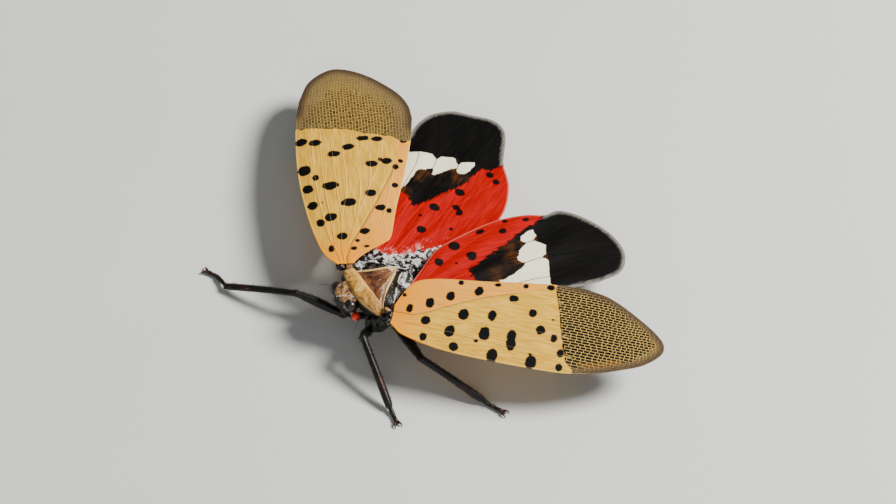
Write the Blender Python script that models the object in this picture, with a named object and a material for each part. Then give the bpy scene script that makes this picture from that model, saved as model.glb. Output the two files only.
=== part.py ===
"""A spotted lanternfly at life size, standing on six legs with all four wings half open.

Lengths in the tables below are millimetres. X points to the insect's left, Y to its tail and Z up.
The tables measure from the point under the front edge of its mesothorax, on its midline. At the end
the whole insect is moved to stand centred on the origin and is scaled to metres.
"""
import math

import bmesh
import bpy
from mathutils import Matrix, Vector

MM = 0.001
GAP = 0.3
FLOOR_SIZE = 60.0

# Wings: a plan outline in u along the wing and v towards the inner side, on a gently sloping sheet.
MEMBRANE = 0.5
VEIN_RISE = 0.17
VEIN_HALF_WIDTH = 0.02
NODE_RISE = 0.12
WING_STUB = -0.9
FOREWING_VEINS = (0.1, 0.24, 0.38, 0.52, 0.66, 0.82)
HINDWING_VEINS = (0.05, 0.13, 0.22, 0.31, 0.4, 0.51, 0.64)
VEIN_ROOT_FADE = 0.15
VEIN_TIP_FADE = 0.1
FOREWING_ROWS = (0.0, 0.05, 0.1, 0.17, 0.25, 0.33, 0.41, 0.5, 0.585, 0.605, 0.625, 0.7, 0.79, 0.87,
                 0.94, 1.0)
HINDWING_ROWS = (0.0, 0.06, 0.13, 0.21, 0.3, 0.4, 0.5, 0.6, 0.7, 0.79, 0.87, 0.94, 1.0)
NODE_ROW = 0.605

WINGS = {
    "forewing_left": {
        "side": 1, "hinge": (3.23, 0.22, 5.3), "sweep": 43.0, "dip": 0.055, "rise": 0.0, "camber": 0.35,
        "lead": ((WING_STUB, -0.5), (0.4, -1.1), (1.6, -1.9), (4.5, -2.6), (9.2, -2.85), (13.9, -2.8),
                 (16.9, -2.3), (19.1, -1.5)),
        "margin": ((19.1, -1.5), (21.0, -0.6), (22.3, 0.7), (22.5, 1.7), (21.9, 2.6), (20.1, 4.0),
                   (17.5, 5.5), (15.5, 6.0)),
        "trail": ((WING_STUB, 0.5), (0.6, 1.8), (1.3, 3.2), (2.0, 3.8), (3.6, 4.3), (7.2, 4.9),
                  (11.6, 5.7), (14.0, 5.95), (15.5, 6.0)),
    },
    "forewing_right": {
        "side": -1, "hinge": (-2.87, -0.18, 5.3), "sweep": 63.0, "dip": 0.055, "rise": 0.0, "camber": 0.35,
        "lead": ((WING_STUB, -0.5), (1.0, -1.5), (2.5, -2.1), (5.7, -2.8), (10.5, -3.3), (15.5, -3.2),
                 (18.8, -2.7)),
        "margin": ((18.8, -2.7), (20.9, -1.8), (22.1, -0.3), (22.2, 1.3), (21.1, 3.5), (19.2, 5.5),
                   (17.6, 6.45), (16.0, 6.7)),
        "trail": ((WING_STUB, 0.5), (0.5, 0.8), (1.4, 2.1), (2.1, 3.3), (2.8, 3.9), (6.0, 4.6),
                  (10.2, 5.7), (13.6, 6.4), (16.0, 6.7)),
    },
    "hindwing_left": {
        "side": 1, "hinge": (2.33, 2.98, 4.2), "sweep": 10.0, "dip": 0.06, "rise": 0.08, "camber": 0.15,
        "lead": ((WING_STUB, -0.5), (3.0, -1.4), (7.0, -2.4), (11.0, -3.0), (15.5, -3.3)),
        "margin": ((15.5, -3.3), (17.4, -3.0), (18.4, -1.8), (18.5, -0.2), (17.7, 1.8), (16.2, 3.6),
                   (14.9, 4.4), (13.7, 4.3), (12.1, 4.8), (9.6, 5.1), (7.0, 4.75), (4.1, 4.0),
                   (2.9, 3.3), (0.5, 1.3)),
        "trail": ((WING_STUB, 0.5), (0.5, 1.3)),
    },
    "hindwing_right": {
        "side": -1, "hinge": (-2.5, 3.12, 3.55), "sweep": 31.0, "dip": 0.06, "rise": -0.04, "camber": 0.0,
        "lead": ((WING_STUB, -0.5), (3.0, -1.9), (7.0, -3.3), (11.0, -4.3), (13.7, -4.6)),
        "margin": ((13.7, -4.6), (15.3, -4.6), (16.9, -4.0), (18.1, -2.7), (18.4, -1.5), (18.9, 0.8),
                   (18.1, 2.3), (15.9, 3.3), (14.8, 3.8), (13.0, 5.2), (11.0, 6.0), (9.2, 6.25),
                   (7.5, 6.1), (5.5, 5.3), (3.0, 3.6), (0.5, 1.4)),
        "trail": ((WING_STUB, 0.5), (0.5, 1.4)),
    },
}

# Trunk: rows of (y, half width, low, high) for pieces that run along Y.
MESOTHORAX = ((0.35, 2.1, 2.4, 5.25), (0.9, 2.45, 2.05, 5.45), (1.7, 2.45, 2.0, 5.4),
              (2.4, 2.2, 2.05, 5.1), (2.75, 2.0, 2.3, 4.85))
METATHORAX = ((3.05, 1.9, 2.2, 4.5), (3.5, 2.1, 1.9, 4.5), (4.2, 2.0, 1.6, 4.0), (4.6, 1.8, 1.5, 3.4))
ABDOMEN_LENGTH = (4.9, 10.5)
ABDOMEN_HALF_WIDTH = 2.25
ABDOMEN_HALF_DEPTH = 1.05
ABDOMEN_SEGMENTS = 7
ABDOMEN_MIDDLE = (1.7, 1.5)
ABDOMEN_POWER = 2.2
SEGMENT_STEP = 0.12
SEGMENT_ROWS = ((0.0, SEGMENT_STEP), (0.3, 0.0), (0.9, 0.0))
TAIL_ROUNDING = 0.85
TAIL_TIP = 0.2
TRUNK_POWER = 2.5
TRUNK_SIDES = 16
ABDOMEN_SIDES = 18

# Rows of (x, front, back, low, high) for the prothorax, from its middle to a side.
PROTHORAX = ((0.0, -1.4, 0.1, 2.6, 5.65), (0.9, -1.3, 0.1, 2.6, 5.6), (1.7, -1.0, 0.1, 2.9, 5.42),
             (2.3, -0.75, 0.08, 3.3, 5.2), (2.75, -0.5, 0.04, 3.9, 4.9))
PROTHORAX_LEAN = 0.75
PROTHORAX_POWER = 2.7

# Rows of (z, front, back, half width) for the head, from its crown to the mouth.
HEAD_X = -0.5
HEAD = ((5.25, -2.1, -1.5, 0.8), (5.1, -2.35, -1.2, 1.05), (4.7, -2.55, -1.1, 1.1), (4.1, -2.55, -1.0, 1.0),
        (3.4, -2.35, -0.95, 0.85), (2.9, -2.0, -0.9, 0.62), (2.4, -1.65, -0.85, 0.4))
HEAD_POWER = 2.4
EYE_OFFSET = (1.08, -1.95, 4.65)
EYE_RADII = (0.5, 0.5, 0.56)
ANTENNA_SOCKET = (0.5, -1.8, 3.9)
PEDICEL_OFFSET = (1.6, -1.78, 3.75)
PEDICEL_RADIUS = 0.38
SCAPE_RADIUS = 0.26
FLAGELLUM_START = 0.25
FLAGELLUM_END = 0.62
FLAGELLUM_RADII = (0.18, 0.1)
ROSTRUM = ((-0.35, -1.15, 1.75), (-0.15, -0.3, 1.4), (0.0, 1.2, 1.35), (0.0, 3.2, 1.4))
ROSTRUM_RADII = (0.36, 0.32, 0.28, 0.25)

SCUTUM_HALF_WIDTH = 2.0
SCUTUM_APEX_HALF_WIDTH = 0.3
SCUTUM_APEX_DEPTH = 0.35
SCUTUM_MIDDLE = (0.0, -0.15)
SCUTUM_FRONT = 0.42
SCUTUM_APEX = 3.1
SCUTUM_HEIGHT = (4.92, 5.62)
SCUTUM_BEVEL = (0.16, 0.25)
SCUTUM_KEEL = 0.08
SCUTUM_SLOPE = 0.12
HINGE_INSET = 0.45
HINGE_BACK = {"forewing": 0.4, "hindwing": 0.55}
HINGE_RADII = {"forewing": (0.55, 0.55, 0.45), "hindwing": (0.5, 0.48, 0.4)}

# Legs: the joints from coxa to claws, then the radii of the five lengths between them.
COXA_RADIUS = 0.5
FEMUR_RADII = (0.34, 0.42, 0.36)
TIBIA_RADII = (0.32, 0.29, 0.28)
TARSUS_RADIUS = 0.28
CLAW_RADII = (0.2, 0.15, 0.09)
CLAW_ROOT_SPREAD = 0.08
CLAW_SPREAD = 0.42
CLAW_LENGTH = 0.75
SPINE_RADII = (0.16, 0.06)
SPINE_LENGTH = 0.6
SPINE_LEAN = 0.25
LIMB_SIDES = 8
LIMB_END_REACH = 0.7
LIMB_END_SHRINK = 0.55
LEGS = {
    "leg_fore_right": ((-1.6, -0.2, 2.9), (-1.3, -1.5, 1.15), (-4.37, -4.19, 2.5), (-9.44, -8.04, 0.6),
                       (-10.98, -8.09, 0.27), (-11.75, -8.5, 0.27)),
    "leg_fore_left": ((1.3, -0.3, 3.0), (1.6, -0.7, 1.7), (3.23, -2.27, 3.7), (8.25, -2.89, 0.6),
                      (9.0, -2.97, 0.27), (9.7, -3.1, 0.27)),
    "leg_mid_right": ((-1.15, 1.3, 2.6), (-1.7, 1.5, 1.75), (-5.2, 1.9, 3.1), (-10.9, 4.6, 0.6),
                      (-11.7, 5.0, 0.27), (-12.8, 5.5, 0.27)),
    "leg_mid_left": ((1.15, 1.3, 2.6), (1.7, 1.4, 1.75), (7.0, 0.94, 2.85), (11.66, 3.84, 0.6),
                     (12.3, 4.2, 0.27), (13.4, 4.7, 0.27)),
    "leg_hind_right": ((-1.1, 3.6, 2.3), (-1.75, 3.75, 1.4), (-4.3, 6.6, 2.1), (-7.8, 10.9, 0.6),
                       (-8.2, 11.6, 0.27), (-8.7, 12.6, 0.27)),
    "leg_hind_left": ((1.1, 3.6, 2.3), (1.75, 3.75, 1.4), (4.3, 6.2, 2.1), (8.4, 10.3, 0.6),
                      (8.9, 10.9, 0.27), (9.8, 11.8, 0.27)),
}
SPINY_LEGS = ("leg_hind_right", "leg_hind_left")
SPINE_PLACES = (0.3, 0.5, 0.7, 0.88)

FINISHES = {
    "tan_wing": ((0.74, 0.52, 0.24), 0.55),
    "red_wing": ((0.85, 0.02, 0.02), 0.5),
    "collar": ((0.62, 0.43, 0.22), 0.6),
    "brown_shield": ((0.2, 0.08, 0.05), 0.45),
    "dark_shell": ((0.02, 0.018, 0.02), 0.35),
    "waxy_shell": ((0.45, 0.45, 0.42), 0.8),
    "eye": ((0.03, 0.02, 0.02), 0.2),
    "orange_bead": ((0.8, 0.12, 0.04), 0.4),
}


def make_material(name):
    colour, roughness = FINISHES[name]
    material = bpy.data.materials.new(name)
    material.use_nodes = True
    shader = material.node_tree.nodes["Principled BSDF"]
    shader.inputs["Base Color"].default_value = (*colour, 1.0)
    shader.inputs["Roughness"].default_value = roughness
    shader.inputs["Metallic"].default_value = 0.0
    return material


def mesh_piece(name, points, faces):
    mesh = bpy.data.meshes.new(name)
    mesh.from_pydata([tuple(point) for point in points], [], faces)
    solid = bmesh.new()
    solid.from_mesh(mesh)
    bmesh.ops.recalc_face_normals(solid, faces=solid.faces)
    solid.to_mesh(mesh)
    solid.free()
    piece = bpy.data.objects.new(name, mesh)
    bpy.context.scene.collection.objects.link(piece)
    return piece


def loft(name, rings):
    """Skin a list of equal rings and close both ends on the middle of the end ring."""
    count = len(rings[0])
    points = [point for ring in rings for point in ring]
    faces = []
    for row in range(len(rings) - 1):
        for k in range(count):
            a = row * count + k
            b = row * count + (k + 1) % count
            faces.append((a, b, b + count, a + count))
    for ring, first in ((rings[0], 0), (rings[-1], (len(rings) - 1) * count)):
        middle = sum((Vector(point) for point in ring), Vector()) / count
        points.append(middle)
        for k in range(count):
            faces.append((first + k, first + (k + 1) % count, len(points) - 1))
    return mesh_piece(name, points, faces)


def squircle(count, power):
    """Unit outline between a circle (power 2) and a square."""
    outline = []
    for k in range(count):
        angle = math.tau * (k + 0.5) / count
        across = math.copysign(abs(math.cos(angle)) ** (2.0 / power), math.cos(angle))
        up = math.copysign(abs(math.sin(angle)) ** (2.0 / power), math.sin(angle))
        outline.append((across, up))
    return outline


def trunk_piece(name, rows, grow=0.0, count=TRUNK_SIDES, power=TRUNK_POWER):
    """Loft along Y from rows of (y, half width, low, high)."""
    rings = []
    for index, (y, half, low, high) in enumerate(rows):
        end = grow * ((index == len(rows) - 1) - (index == 0))
        middle = (low + high) / 2
        depth = (high - low) / 2 + grow
        rings.append([((half + grow) * a, y + end, middle + depth * b) for a, b in squircle(count, power)])
    return loft(name, rings)


def prothorax_piece(name, grow=0.0):
    rows = [(-x, *rest) for x, *rest in reversed(PROTHORAX[1:])] + list(PROTHORAX)
    rings = []
    for index, (x, front, back, low, high) in enumerate(rows):
        end = grow * ((index == len(rows) - 1) - (index == 0))
        y = (front + back) / 2
        z = (low + high) / 2
        reach = (back - front) / 2 + grow
        depth = (high - low) / 2 + grow
        lean = PROTHORAX_LEAN * (back - front) / (PROTHORAX[0][2] - PROTHORAX[0][1])
        ring = []
        for a, b in squircle(TRUNK_SIDES, PROTHORAX_POWER):
            setback = lean * (1 - a) / 2 * (1 - b) / 2
            ring.append((x + end, y + reach * a + setback, z + depth * b))
        rings.append(ring)
    return loft(name, rings)


def head_piece(name, grow=0.0):
    rings = []
    for index, (z, front, back, half) in enumerate(HEAD):
        end = grow * ((index == 0) - (index == len(HEAD) - 1))
        y = (front + back) / 2
        reach = (back - front) / 2 + grow
        outline = squircle(TRUNK_SIDES, HEAD_POWER)
        rings.append([(HEAD_X + (half + grow) * a, y + reach * b, z + end) for a, b in outline])
    return loft(name, rings)


def ball(name, centre, radii, grow=0.0, sides=14, rings=9):
    mesh = bpy.data.meshes.new(name)
    solid = bmesh.new()
    bmesh.ops.create_uvsphere(solid, u_segments=sides, v_segments=rings, radius=1.0)
    reach = [radius + grow for radius in radii]
    bmesh.ops.transform(solid, matrix=Matrix.Diagonal((*reach, 1.0)), verts=solid.verts)
    bmesh.ops.translate(solid, vec=centre, verts=solid.verts)
    solid.to_mesh(mesh)
    solid.free()
    piece = bpy.data.objects.new(name, mesh)
    bpy.context.scene.collection.objects.link(piece)
    return piece


def limb(name, path, radii, sides=LIMB_SIDES):
    """Round tube through a few points, each end rounded off by a smaller ring."""
    path = [Vector(point) for point in path]
    first = (path[1] - path[0]).normalized()
    last = (path[-1] - path[-2]).normalized()
    stops = [(path[0] - first * radii[0] * LIMB_END_REACH, radii[0] * LIMB_END_SHRINK, first)]
    for k, point in enumerate(path):
        before = (point - path[k - 1]).normalized() if k else first
        after = (path[k + 1] - point).normalized() if k < len(path) - 1 else last
        stops.append((point, radii[k], (before + after).normalized()))
    stops.append((path[-1] + last * radii[-1] * LIMB_END_REACH, radii[-1] * LIMB_END_SHRINK, last))
    side = first.orthogonal().normalized()
    rings = []
    for point, radius, along in stops:
        side = (side - along * side.dot(along)).normalized()
        other = along.cross(side)
        turns = [math.tau * k / sides for k in range(sides)]
        rings.append([point + side * radius * math.cos(t) + other * radius * math.sin(t) for t in turns])
    return loft(name, rings)


def keep_largest(mesh):
    """Drop every closed surface of the mesh but the one with the most points."""
    solid = bmesh.new()
    solid.from_mesh(mesh)
    left = set(solid.verts)
    shells = []
    while left:
        shell = {left.pop()}
        front = list(shell)
        while front:
            vertex = front.pop()
            for edge in vertex.link_edges:
                other = edge.other_vert(vertex)
                if other in left:
                    left.discard(other)
                    shell.add(other)
                    front.append(other)
        shells.append(shell)
    shells.sort(key=len)
    for shell in shells[:-1]:
        bmesh.ops.delete(solid, geom=list(shell), context="VERTS")
    solid.to_mesh(mesh)
    solid.free()


def combine(base, others, operation):
    """Join or cut one closed piece with others, keep the largest closed surface and drop the others."""
    group = bpy.data.collections.new("work")
    bpy.context.scene.collection.children.link(group)
    for other in others:
        group.objects.link(other)
        other.hide_render = True
        other.display_type = "WIRE"
    step = base.modifiers.new("combine", "BOOLEAN")
    step.operation = operation
    step.operand_type = "COLLECTION"
    step.collection = group
    step.solver = "EXACT"
    bpy.context.view_layer.update()
    evaluated = base.evaluated_get(bpy.context.evaluated_depsgraph_get())
    mesh = bpy.data.meshes.new_from_object(evaluated)
    base.modifiers.remove(step)
    base.data = mesh
    for other in others:
        bpy.data.objects.remove(other)
    bpy.data.collections.remove(group)
    keep_largest(mesh)
    return base


def curve_point(points, t):
    """Point at t from 0 to 1 of a smooth curve through the points, spaced by their distances."""
    spans = [math.dist(points[k], points[k + 1]) for k in range(len(points) - 1)]
    goal = t * sum(spans)
    index = 0
    while index < len(spans) - 1 and goal > spans[index]:
        goal -= spans[index]
        index += 1
    f = min(goal / spans[index], 1.0)
    p1 = Vector(points[index])
    p2 = Vector(points[index + 1])
    p0 = Vector(points[index - 1]) if index else p1 * 2 - p2
    p3 = Vector(points[index + 2]) if index + 2 < len(points) else p2 * 2 - p1
    bend = p1 * 2 + (p2 - p0) * f + (p0 * 2 - p1 * 5 + p2 * 4 - p3) * f * f
    return (bend + (p1 * 3 - p0 - p2 * 3 + p3) * f ** 3) / 2


def patch_point(wing, s, t):
    """Point (u, v) of the wing's plan: s from leading to trailing edge, t from hinge to outer margin."""
    lead = curve_point(wing["lead"], t)
    trail = curve_point(wing["trail"], t)
    margin = curve_point(wing["margin"], s)
    root = Vector(wing["lead"][0]).lerp(Vector(wing["trail"][0]), s)
    corners = Vector(wing["lead"][0]).lerp(Vector(wing["trail"][0]), s) * (1 - t)
    corners += Vector(wing["margin"][0]).lerp(Vector(wing["margin"][-1]), s) * t
    return lead.lerp(trail, s) + root.lerp(margin, t) - corners


def wing_place(wing, s, t):
    u, v = patch_point(wing, s, t)
    sweep = math.radians(wing["sweep"])
    side = wing["side"]
    x, y, z = wing["hinge"]
    x += side * (math.sin(sweep) * u - math.cos(sweep) * v)
    y += math.cos(sweep) * u + math.sin(sweep) * v
    z += -wing["dip"] * u + wing["rise"] * v + wing["camber"] * 4 * s * (1 - s) * math.sin(math.pi * t)
    return Vector((x, y, z))


def wing_piece(name, veins, rows, node=None):
    """A sheet whose columns follow the veins: each vein is a raised column between two level ones."""
    wing = WINGS[name]
    columns = [(0.0, 0.0)]
    for vein in veins:
        columns += [(vein - VEIN_HALF_WIDTH, 0.0), (vein, VEIN_RISE), (vein + VEIN_HALF_WIDTH, 0.0)]
    columns.append((1.0, 0.0))
    points = []
    for t in rows:
        cross = NODE_RISE if t == node else 0.0
        fade = min(1.0, t / VEIN_ROOT_FADE, (1.0 - t) / VEIN_TIP_FADE)
        for s, ridge in columns:
            rise = max(ridge * fade, cross if 0 < s < 1 else 0.0)
            points.append(wing_place(wing, s, t) + Vector((0, 0, MEMBRANE / 2 + rise)))
    half = len(points)
    for t in rows:
        for s, _ in columns:
            points.append(wing_place(wing, s, t) - Vector((0, 0, MEMBRANE / 2)))
    wide = len(columns)
    faces = []
    for row in range(len(rows) - 1):
        for k in range(wide - 1):
            a = row * wide + k
            b, c, d = a + 1, a + wide + 1, a + wide
            faces += [(a, b, c), (a, c, d), (half + c, half + b, half + a), (half + d, half + c, half + a)]
    last = (len(rows) - 1) * wide
    rim = list(range(wide)) + [row * wide + wide - 1 for row in range(1, len(rows))]
    rim += [last + k for k in range(wide - 2, -1, -1)] + [row * wide for row in range(len(rows) - 2, 0, -1)]
    for k, a in enumerate(rim):
        b = rim[(k + 1) % len(rim)]
        faces += [(a, half + a, half + b), (a, half + b, b)]
    return mesh_piece(name, points, faces)


def hinge_lobes(pair, grow=0.0):
    """Rounded lobe on each side of the thorax, where a wing of this pair is hinged."""
    lobes = []
    for label in ("left", "right"):
        wing = WINGS[f"{pair}_{label}"]
        x, y, z = wing["hinge"]
        centre = (x - wing["side"] * HINGE_INSET, y + HINGE_BACK[pair], z - HINGE_INSET)
        lobes.append(ball(f"lobe_{label}", centre, HINGE_RADII[pair], grow, 12, 8))
    return lobes


def scutum_plate(name, grow=0.0):
    """Three-cornered shield over the mesothorax, its upper edge drawn in."""
    low, high = SCUTUM_HEIGHT
    half = SCUTUM_HALF_WIDTH + grow
    front = SCUTUM_FRONT - grow
    apex = SCUTUM_APEX + grow * 1.5
    apex_half = SCUTUM_APEX_HALF_WIDTH + grow
    front_x, apex_x = SCUTUM_MIDDLE
    draw, bevel = SCUTUM_BEVEL
    rings = []
    for z, shrink in ((low - grow, 0.0), (high - bevel + grow, 0.0), (high + grow, draw)):
        side = half - shrink * 1.5
        shoulder = apex - SCUTUM_APEX_DEPTH - shrink
        hind = z - SCUTUM_SLOPE
        rings.append([(front_x - side, front + shrink, z), (front_x, front + shrink, z + SCUTUM_KEEL),
                      (front_x + side, front + shrink, z), (apex_x + apex_half, shoulder, hind),
                      (apex_x, apex - shrink * 1.5, hind), (apex_x - apex_half, shoulder, hind)])
    return loft(name, rings)


def mesothorax_pieces(name, grow=0.0):
    shell = trunk_piece(name, MESOTHORAX, grow)
    return [shell, scutum_plate("shield", grow)] + hinge_lobes("forewing", grow)


def metathorax_pieces(name, grow=0.0):
    return [trunk_piece(name, METATHORAX, grow)] + hinge_lobes("hindwing", grow)


def abdomen_taper(t):
    """Width of the abdomen as a part of its full width, from its front (0) to its tip (1)."""
    if t < 0.2:
        return 0.88 + 0.6 * t
    return math.sqrt(max(0.0, 1.0 - (1.08 * t - 0.2) ** 2 / TAIL_ROUNDING))


def abdomen_rows():
    """Rows along the abdomen: each segment swells and then steps in at its hind edge."""
    start, end = ABDOMEN_LENGTH
    rows = []
    for segment in range(ABDOMEN_SEGMENTS):
        for place, step in SEGMENT_ROWS:
            t = (segment + place) / ABDOMEN_SEGMENTS
            half = ABDOMEN_HALF_WIDTH * min(1.0, abdomen_taper(t)) - step
            depth = ABDOMEN_HALF_DEPTH * min(1.0, abdomen_taper(t) + 0.12) - step * 0.7
            middle = ABDOMEN_MIDDLE[0] + (ABDOMEN_MIDDLE[1] - ABDOMEN_MIDDLE[0]) * t
            rows.append((start + (end - start) * t, max(half, TAIL_TIP), middle - depth, middle + depth))
    return rows


def leg_piece(name):
    coxa, trochanter, knee, ankle, sole, toe = (Vector(point) for point in LEGS[name])
    femur = limb(name, (trochanter, trochanter.lerp(knee, 0.4), knee), FEMUR_RADII)
    parts = [limb("coxa", (coxa, trochanter), (COXA_RADIUS, COXA_RADIUS * 0.8))]
    parts.append(limb("tibia", (knee, knee.lerp(ankle, 0.5), ankle), TIBIA_RADII))
    parts.append(limb("tarsus", (ankle, sole, toe), (TARSUS_RADIUS,) * 3))
    along = (toe - sole).normalized()
    across = along.cross(Vector((0, 0, 1)))
    for side in (1, -1):
        tip = toe + along * CLAW_LENGTH + across * side * CLAW_SPREAD
        tip.z = CLAW_RADII[-1]
        root = toe + across * side * CLAW_ROOT_SPREAD
        root.z = CLAW_RADII[0]
        parts.append(limb("claw", (root, root.lerp(tip, 0.5), tip), CLAW_RADII, 6))
    if name in SPINY_LEGS:
        shin = (ankle - knee).normalized()
        out = shin.cross(Vector((0, 0, 1))).normalized()
        out *= math.copysign(1.0, out.x * knee.x)
        for place in SPINE_PLACES:
            root = knee.lerp(ankle, place)
            tip = root + out * SPINE_LENGTH + shin * SPINE_LEAN
            parts.append(limb("spine", (root, tip), SPINE_RADII, 5))
    return combine(femur, parts, "UNION")


def floor_block():
    half = FLOOR_SIZE / 2
    corners = [(-half, -half), (half, -half), (half, half), (-half, half)]
    return loft("floor_cut", [[(x, y, z) for x, y in corners] for z in (-2.0, 0.0)])


def antenna_piece(name, side):
    socket = Vector((HEAD_X + side * ANTENNA_SOCKET[0], *ANTENNA_SOCKET[1:]))
    bead = Vector((HEAD_X + side * PEDICEL_OFFSET[0], *PEDICEL_OFFSET[1:]))
    base = ball(name, bead, (PEDICEL_RADIUS,) * 3, 0.0, 14, 10)
    scape = limb("scape", (socket, bead), (SCAPE_RADIUS, SCAPE_RADIUS))
    out = (bead - socket).normalized()
    nub = limb("nub", (bead + out * FLAGELLUM_START, bead + out * FLAGELLUM_END), FLAGELLUM_RADII, 6)
    return combine(base, [scape, nub], "UNION")


def build():
    for old in list(bpy.data.objects):
        bpy.data.objects.remove(old)
    finish = {}
    prothorax = prothorax_piece("prothorax")
    pieces = mesothorax_pieces("mesothorax")
    mesothorax = combine(pieces[0], pieces[1:], "UNION")
    combine(mesothorax, [prothorax_piece("collar_cut", GAP)], "DIFFERENCE")
    pieces = metathorax_pieces("metathorax")
    metathorax = combine(pieces[0], pieces[1:], "UNION")
    abdomen = trunk_piece("abdomen", abdomen_rows(), 0.0, ABDOMEN_SIDES, ABDOMEN_POWER)
    finish[prothorax] = "collar"
    finish[mesothorax] = "brown_shield"
    finish[metathorax] = "waxy_shell"
    finish[abdomen] = "waxy_shell"

    head = head_piece("head")
    eye_places = [(HEAD_X + side * EYE_OFFSET[0], *EYE_OFFSET[1:]) for side in (1, -1)]
    cups = [ball("cup", place, EYE_RADII, GAP) for place in eye_places]
    combine(head, cups + [prothorax_piece("collar_cut", GAP)], "DIFFERENCE")
    finish[head] = "collar"
    for label, side, place in (("left", 1, eye_places[0]), ("right", -1, eye_places[1])):
        eye = ball(f"eye_{label}", place, EYE_RADII, 0.0, 16, 10)
        combine(eye, [prothorax_piece("collar_cut", GAP)], "DIFFERENCE")
        finish[eye] = "eye"
        antenna = antenna_piece(f"antenna_{label}", side)
        cup = ball("cup", place, EYE_RADII, GAP)
        combine(antenna, [head_piece("head_cut", GAP), cup, prothorax_piece("collar_cut", GAP)], "DIFFERENCE")
        finish[antenna] = "orange_bead"
    rostrum = limb("rostrum", ROSTRUM, ROSTRUM_RADII)
    combine(rostrum, [head_piece("head_cut", GAP)], "DIFFERENCE")
    finish[rostrum] = "dark_shell"

    for name in WINGS:
        fore = name.startswith("forewing")
        node = NODE_ROW if fore else None
        veins = FOREWING_VEINS if fore else HINDWING_VEINS
        wing = wing_piece(name, veins, FOREWING_ROWS if fore else HINDWING_ROWS, node)
        cutters = mesothorax_pieces("cut", GAP) + metathorax_pieces("cut", GAP)
        combine(wing, cutters + [prothorax_piece("cut", GAP)], "DIFFERENCE")
        finish[wing] = "tan_wing" if fore else "red_wing"

    for name in LEGS:
        leg = leg_piece(name)
        cutters = mesothorax_pieces("cut", GAP) + metathorax_pieces("cut", GAP)
        cutters += [head_piece("cut", GAP), prothorax_piece("cut", GAP), floor_block()]
        combine(leg, cutters, "DIFFERENCE")
        finish[leg] = "dark_shell"

    corners = [piece.matrix_world @ vertex.co for piece in finish for vertex in piece.data.vertices]
    low = [min(corner[axis] for corner in corners) for axis in range(3)]
    high = [max(corner[axis] for corner in corners) for axis in range(3)]
    centring = Matrix.Translation((-(low[0] + high[0]) / 2, -(low[1] + high[1]) / 2, 0.0))
    paints = {name: make_material(name) for name in FINISHES}
    for piece, paint in finish.items():
        piece.data.transform(Matrix.Scale(MM, 4) @ centring)
        piece.data.materials.clear()
        piece.data.materials.append(paints[paint])
        piece.data.shade_smooth()
        piece.data.set_sharp_from_angle(angle=math.radians(40))


build()
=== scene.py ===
import math
import random

import bmesh
import bpy
import numpy as np
from mathutils import Matrix, Vector, noise
from mathutils.bvhtree import BVHTree


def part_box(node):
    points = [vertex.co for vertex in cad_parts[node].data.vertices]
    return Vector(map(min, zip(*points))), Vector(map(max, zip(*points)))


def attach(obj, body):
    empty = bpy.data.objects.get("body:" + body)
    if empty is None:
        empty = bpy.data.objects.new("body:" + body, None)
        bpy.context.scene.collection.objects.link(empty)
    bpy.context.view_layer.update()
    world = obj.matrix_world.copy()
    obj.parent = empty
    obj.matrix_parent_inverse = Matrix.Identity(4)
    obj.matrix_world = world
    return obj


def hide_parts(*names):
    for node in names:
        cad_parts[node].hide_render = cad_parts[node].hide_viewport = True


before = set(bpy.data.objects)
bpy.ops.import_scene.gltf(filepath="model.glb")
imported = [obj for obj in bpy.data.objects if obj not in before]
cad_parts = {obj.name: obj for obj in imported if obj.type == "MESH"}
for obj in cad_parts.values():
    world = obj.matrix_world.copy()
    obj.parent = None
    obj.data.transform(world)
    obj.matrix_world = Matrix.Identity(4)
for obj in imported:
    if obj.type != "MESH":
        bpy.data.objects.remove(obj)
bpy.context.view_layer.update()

# The insect stands on a pale floor in soft daylight and is seen from its left front, half from above.
# Its tables are in millimetres from the point under the front edge of the middle thorax, on the
# midline, with X to the insect's left and Y to its tail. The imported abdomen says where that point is.
MM = 0.001
ABDOMEN_START = 4.9
belly_low, belly_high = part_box("abdomen")
BODY_ORIGIN = Vector(((belly_low.x + belly_high.x) / 2, belly_low.y - ABDOMEN_START * MM, 0.0))


def place(point):
    """A point of the tables, in the frame's metres."""
    return BODY_ORIGIN + Vector(point) * MM


def link_object(name, data):
    thing = bpy.data.objects.new(name, data)
    bpy.context.scene.collection.objects.link(thing)
    return thing


PICTURE = (896, 504)
PIXELS_PER_MM = 12.2
CAMERA_AZIMUTH = math.radians(58.0)
CAMERA_ELEVATION = math.radians(52.0)
CAMERA_DISTANCE = 300.0
COLLAR_TOP = (0.65, 0.0, 5.6)
COLLAR_TOP_PIXEL = (370, 290)
SENSOR = 36.0

turn, rise = CAMERA_AZIMUTH, CAMERA_ELEVATION
view_right = Vector((math.cos(turn), math.sin(turn), 0.0))
view_up = Vector((-math.sin(turn) * math.sin(rise), math.cos(turn) * math.sin(rise), math.cos(rise)))
view_back = Vector((math.sin(turn) * math.cos(rise), -math.cos(turn) * math.cos(rise), math.sin(rise)))
across = (COLLAR_TOP_PIXEL[0] - PICTURE[0] / 2) / PIXELS_PER_MM
upward = (PICTURE[1] / 2 - COLLAR_TOP_PIXEL[1]) / PIXELS_PER_MM
eye_point = Vector(COLLAR_TOP) - view_right * across - view_up * upward + view_back * CAMERA_DISTANCE

lens_data = bpy.data.cameras.new("camera")
lens_data.sensor_width = SENSOR
lens_data.lens = SENSOR * CAMERA_DISTANCE / (PICTURE[0] / PIXELS_PER_MM)
lens_data.clip_start = 0.01
camera = link_object("camera", lens_data)
camera.matrix_world = Matrix.Translation(place(eye_point)) @ Matrix(
    (view_right, view_up, view_back)).transposed().to_4x4()
bpy.context.scene.camera = camera


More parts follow.
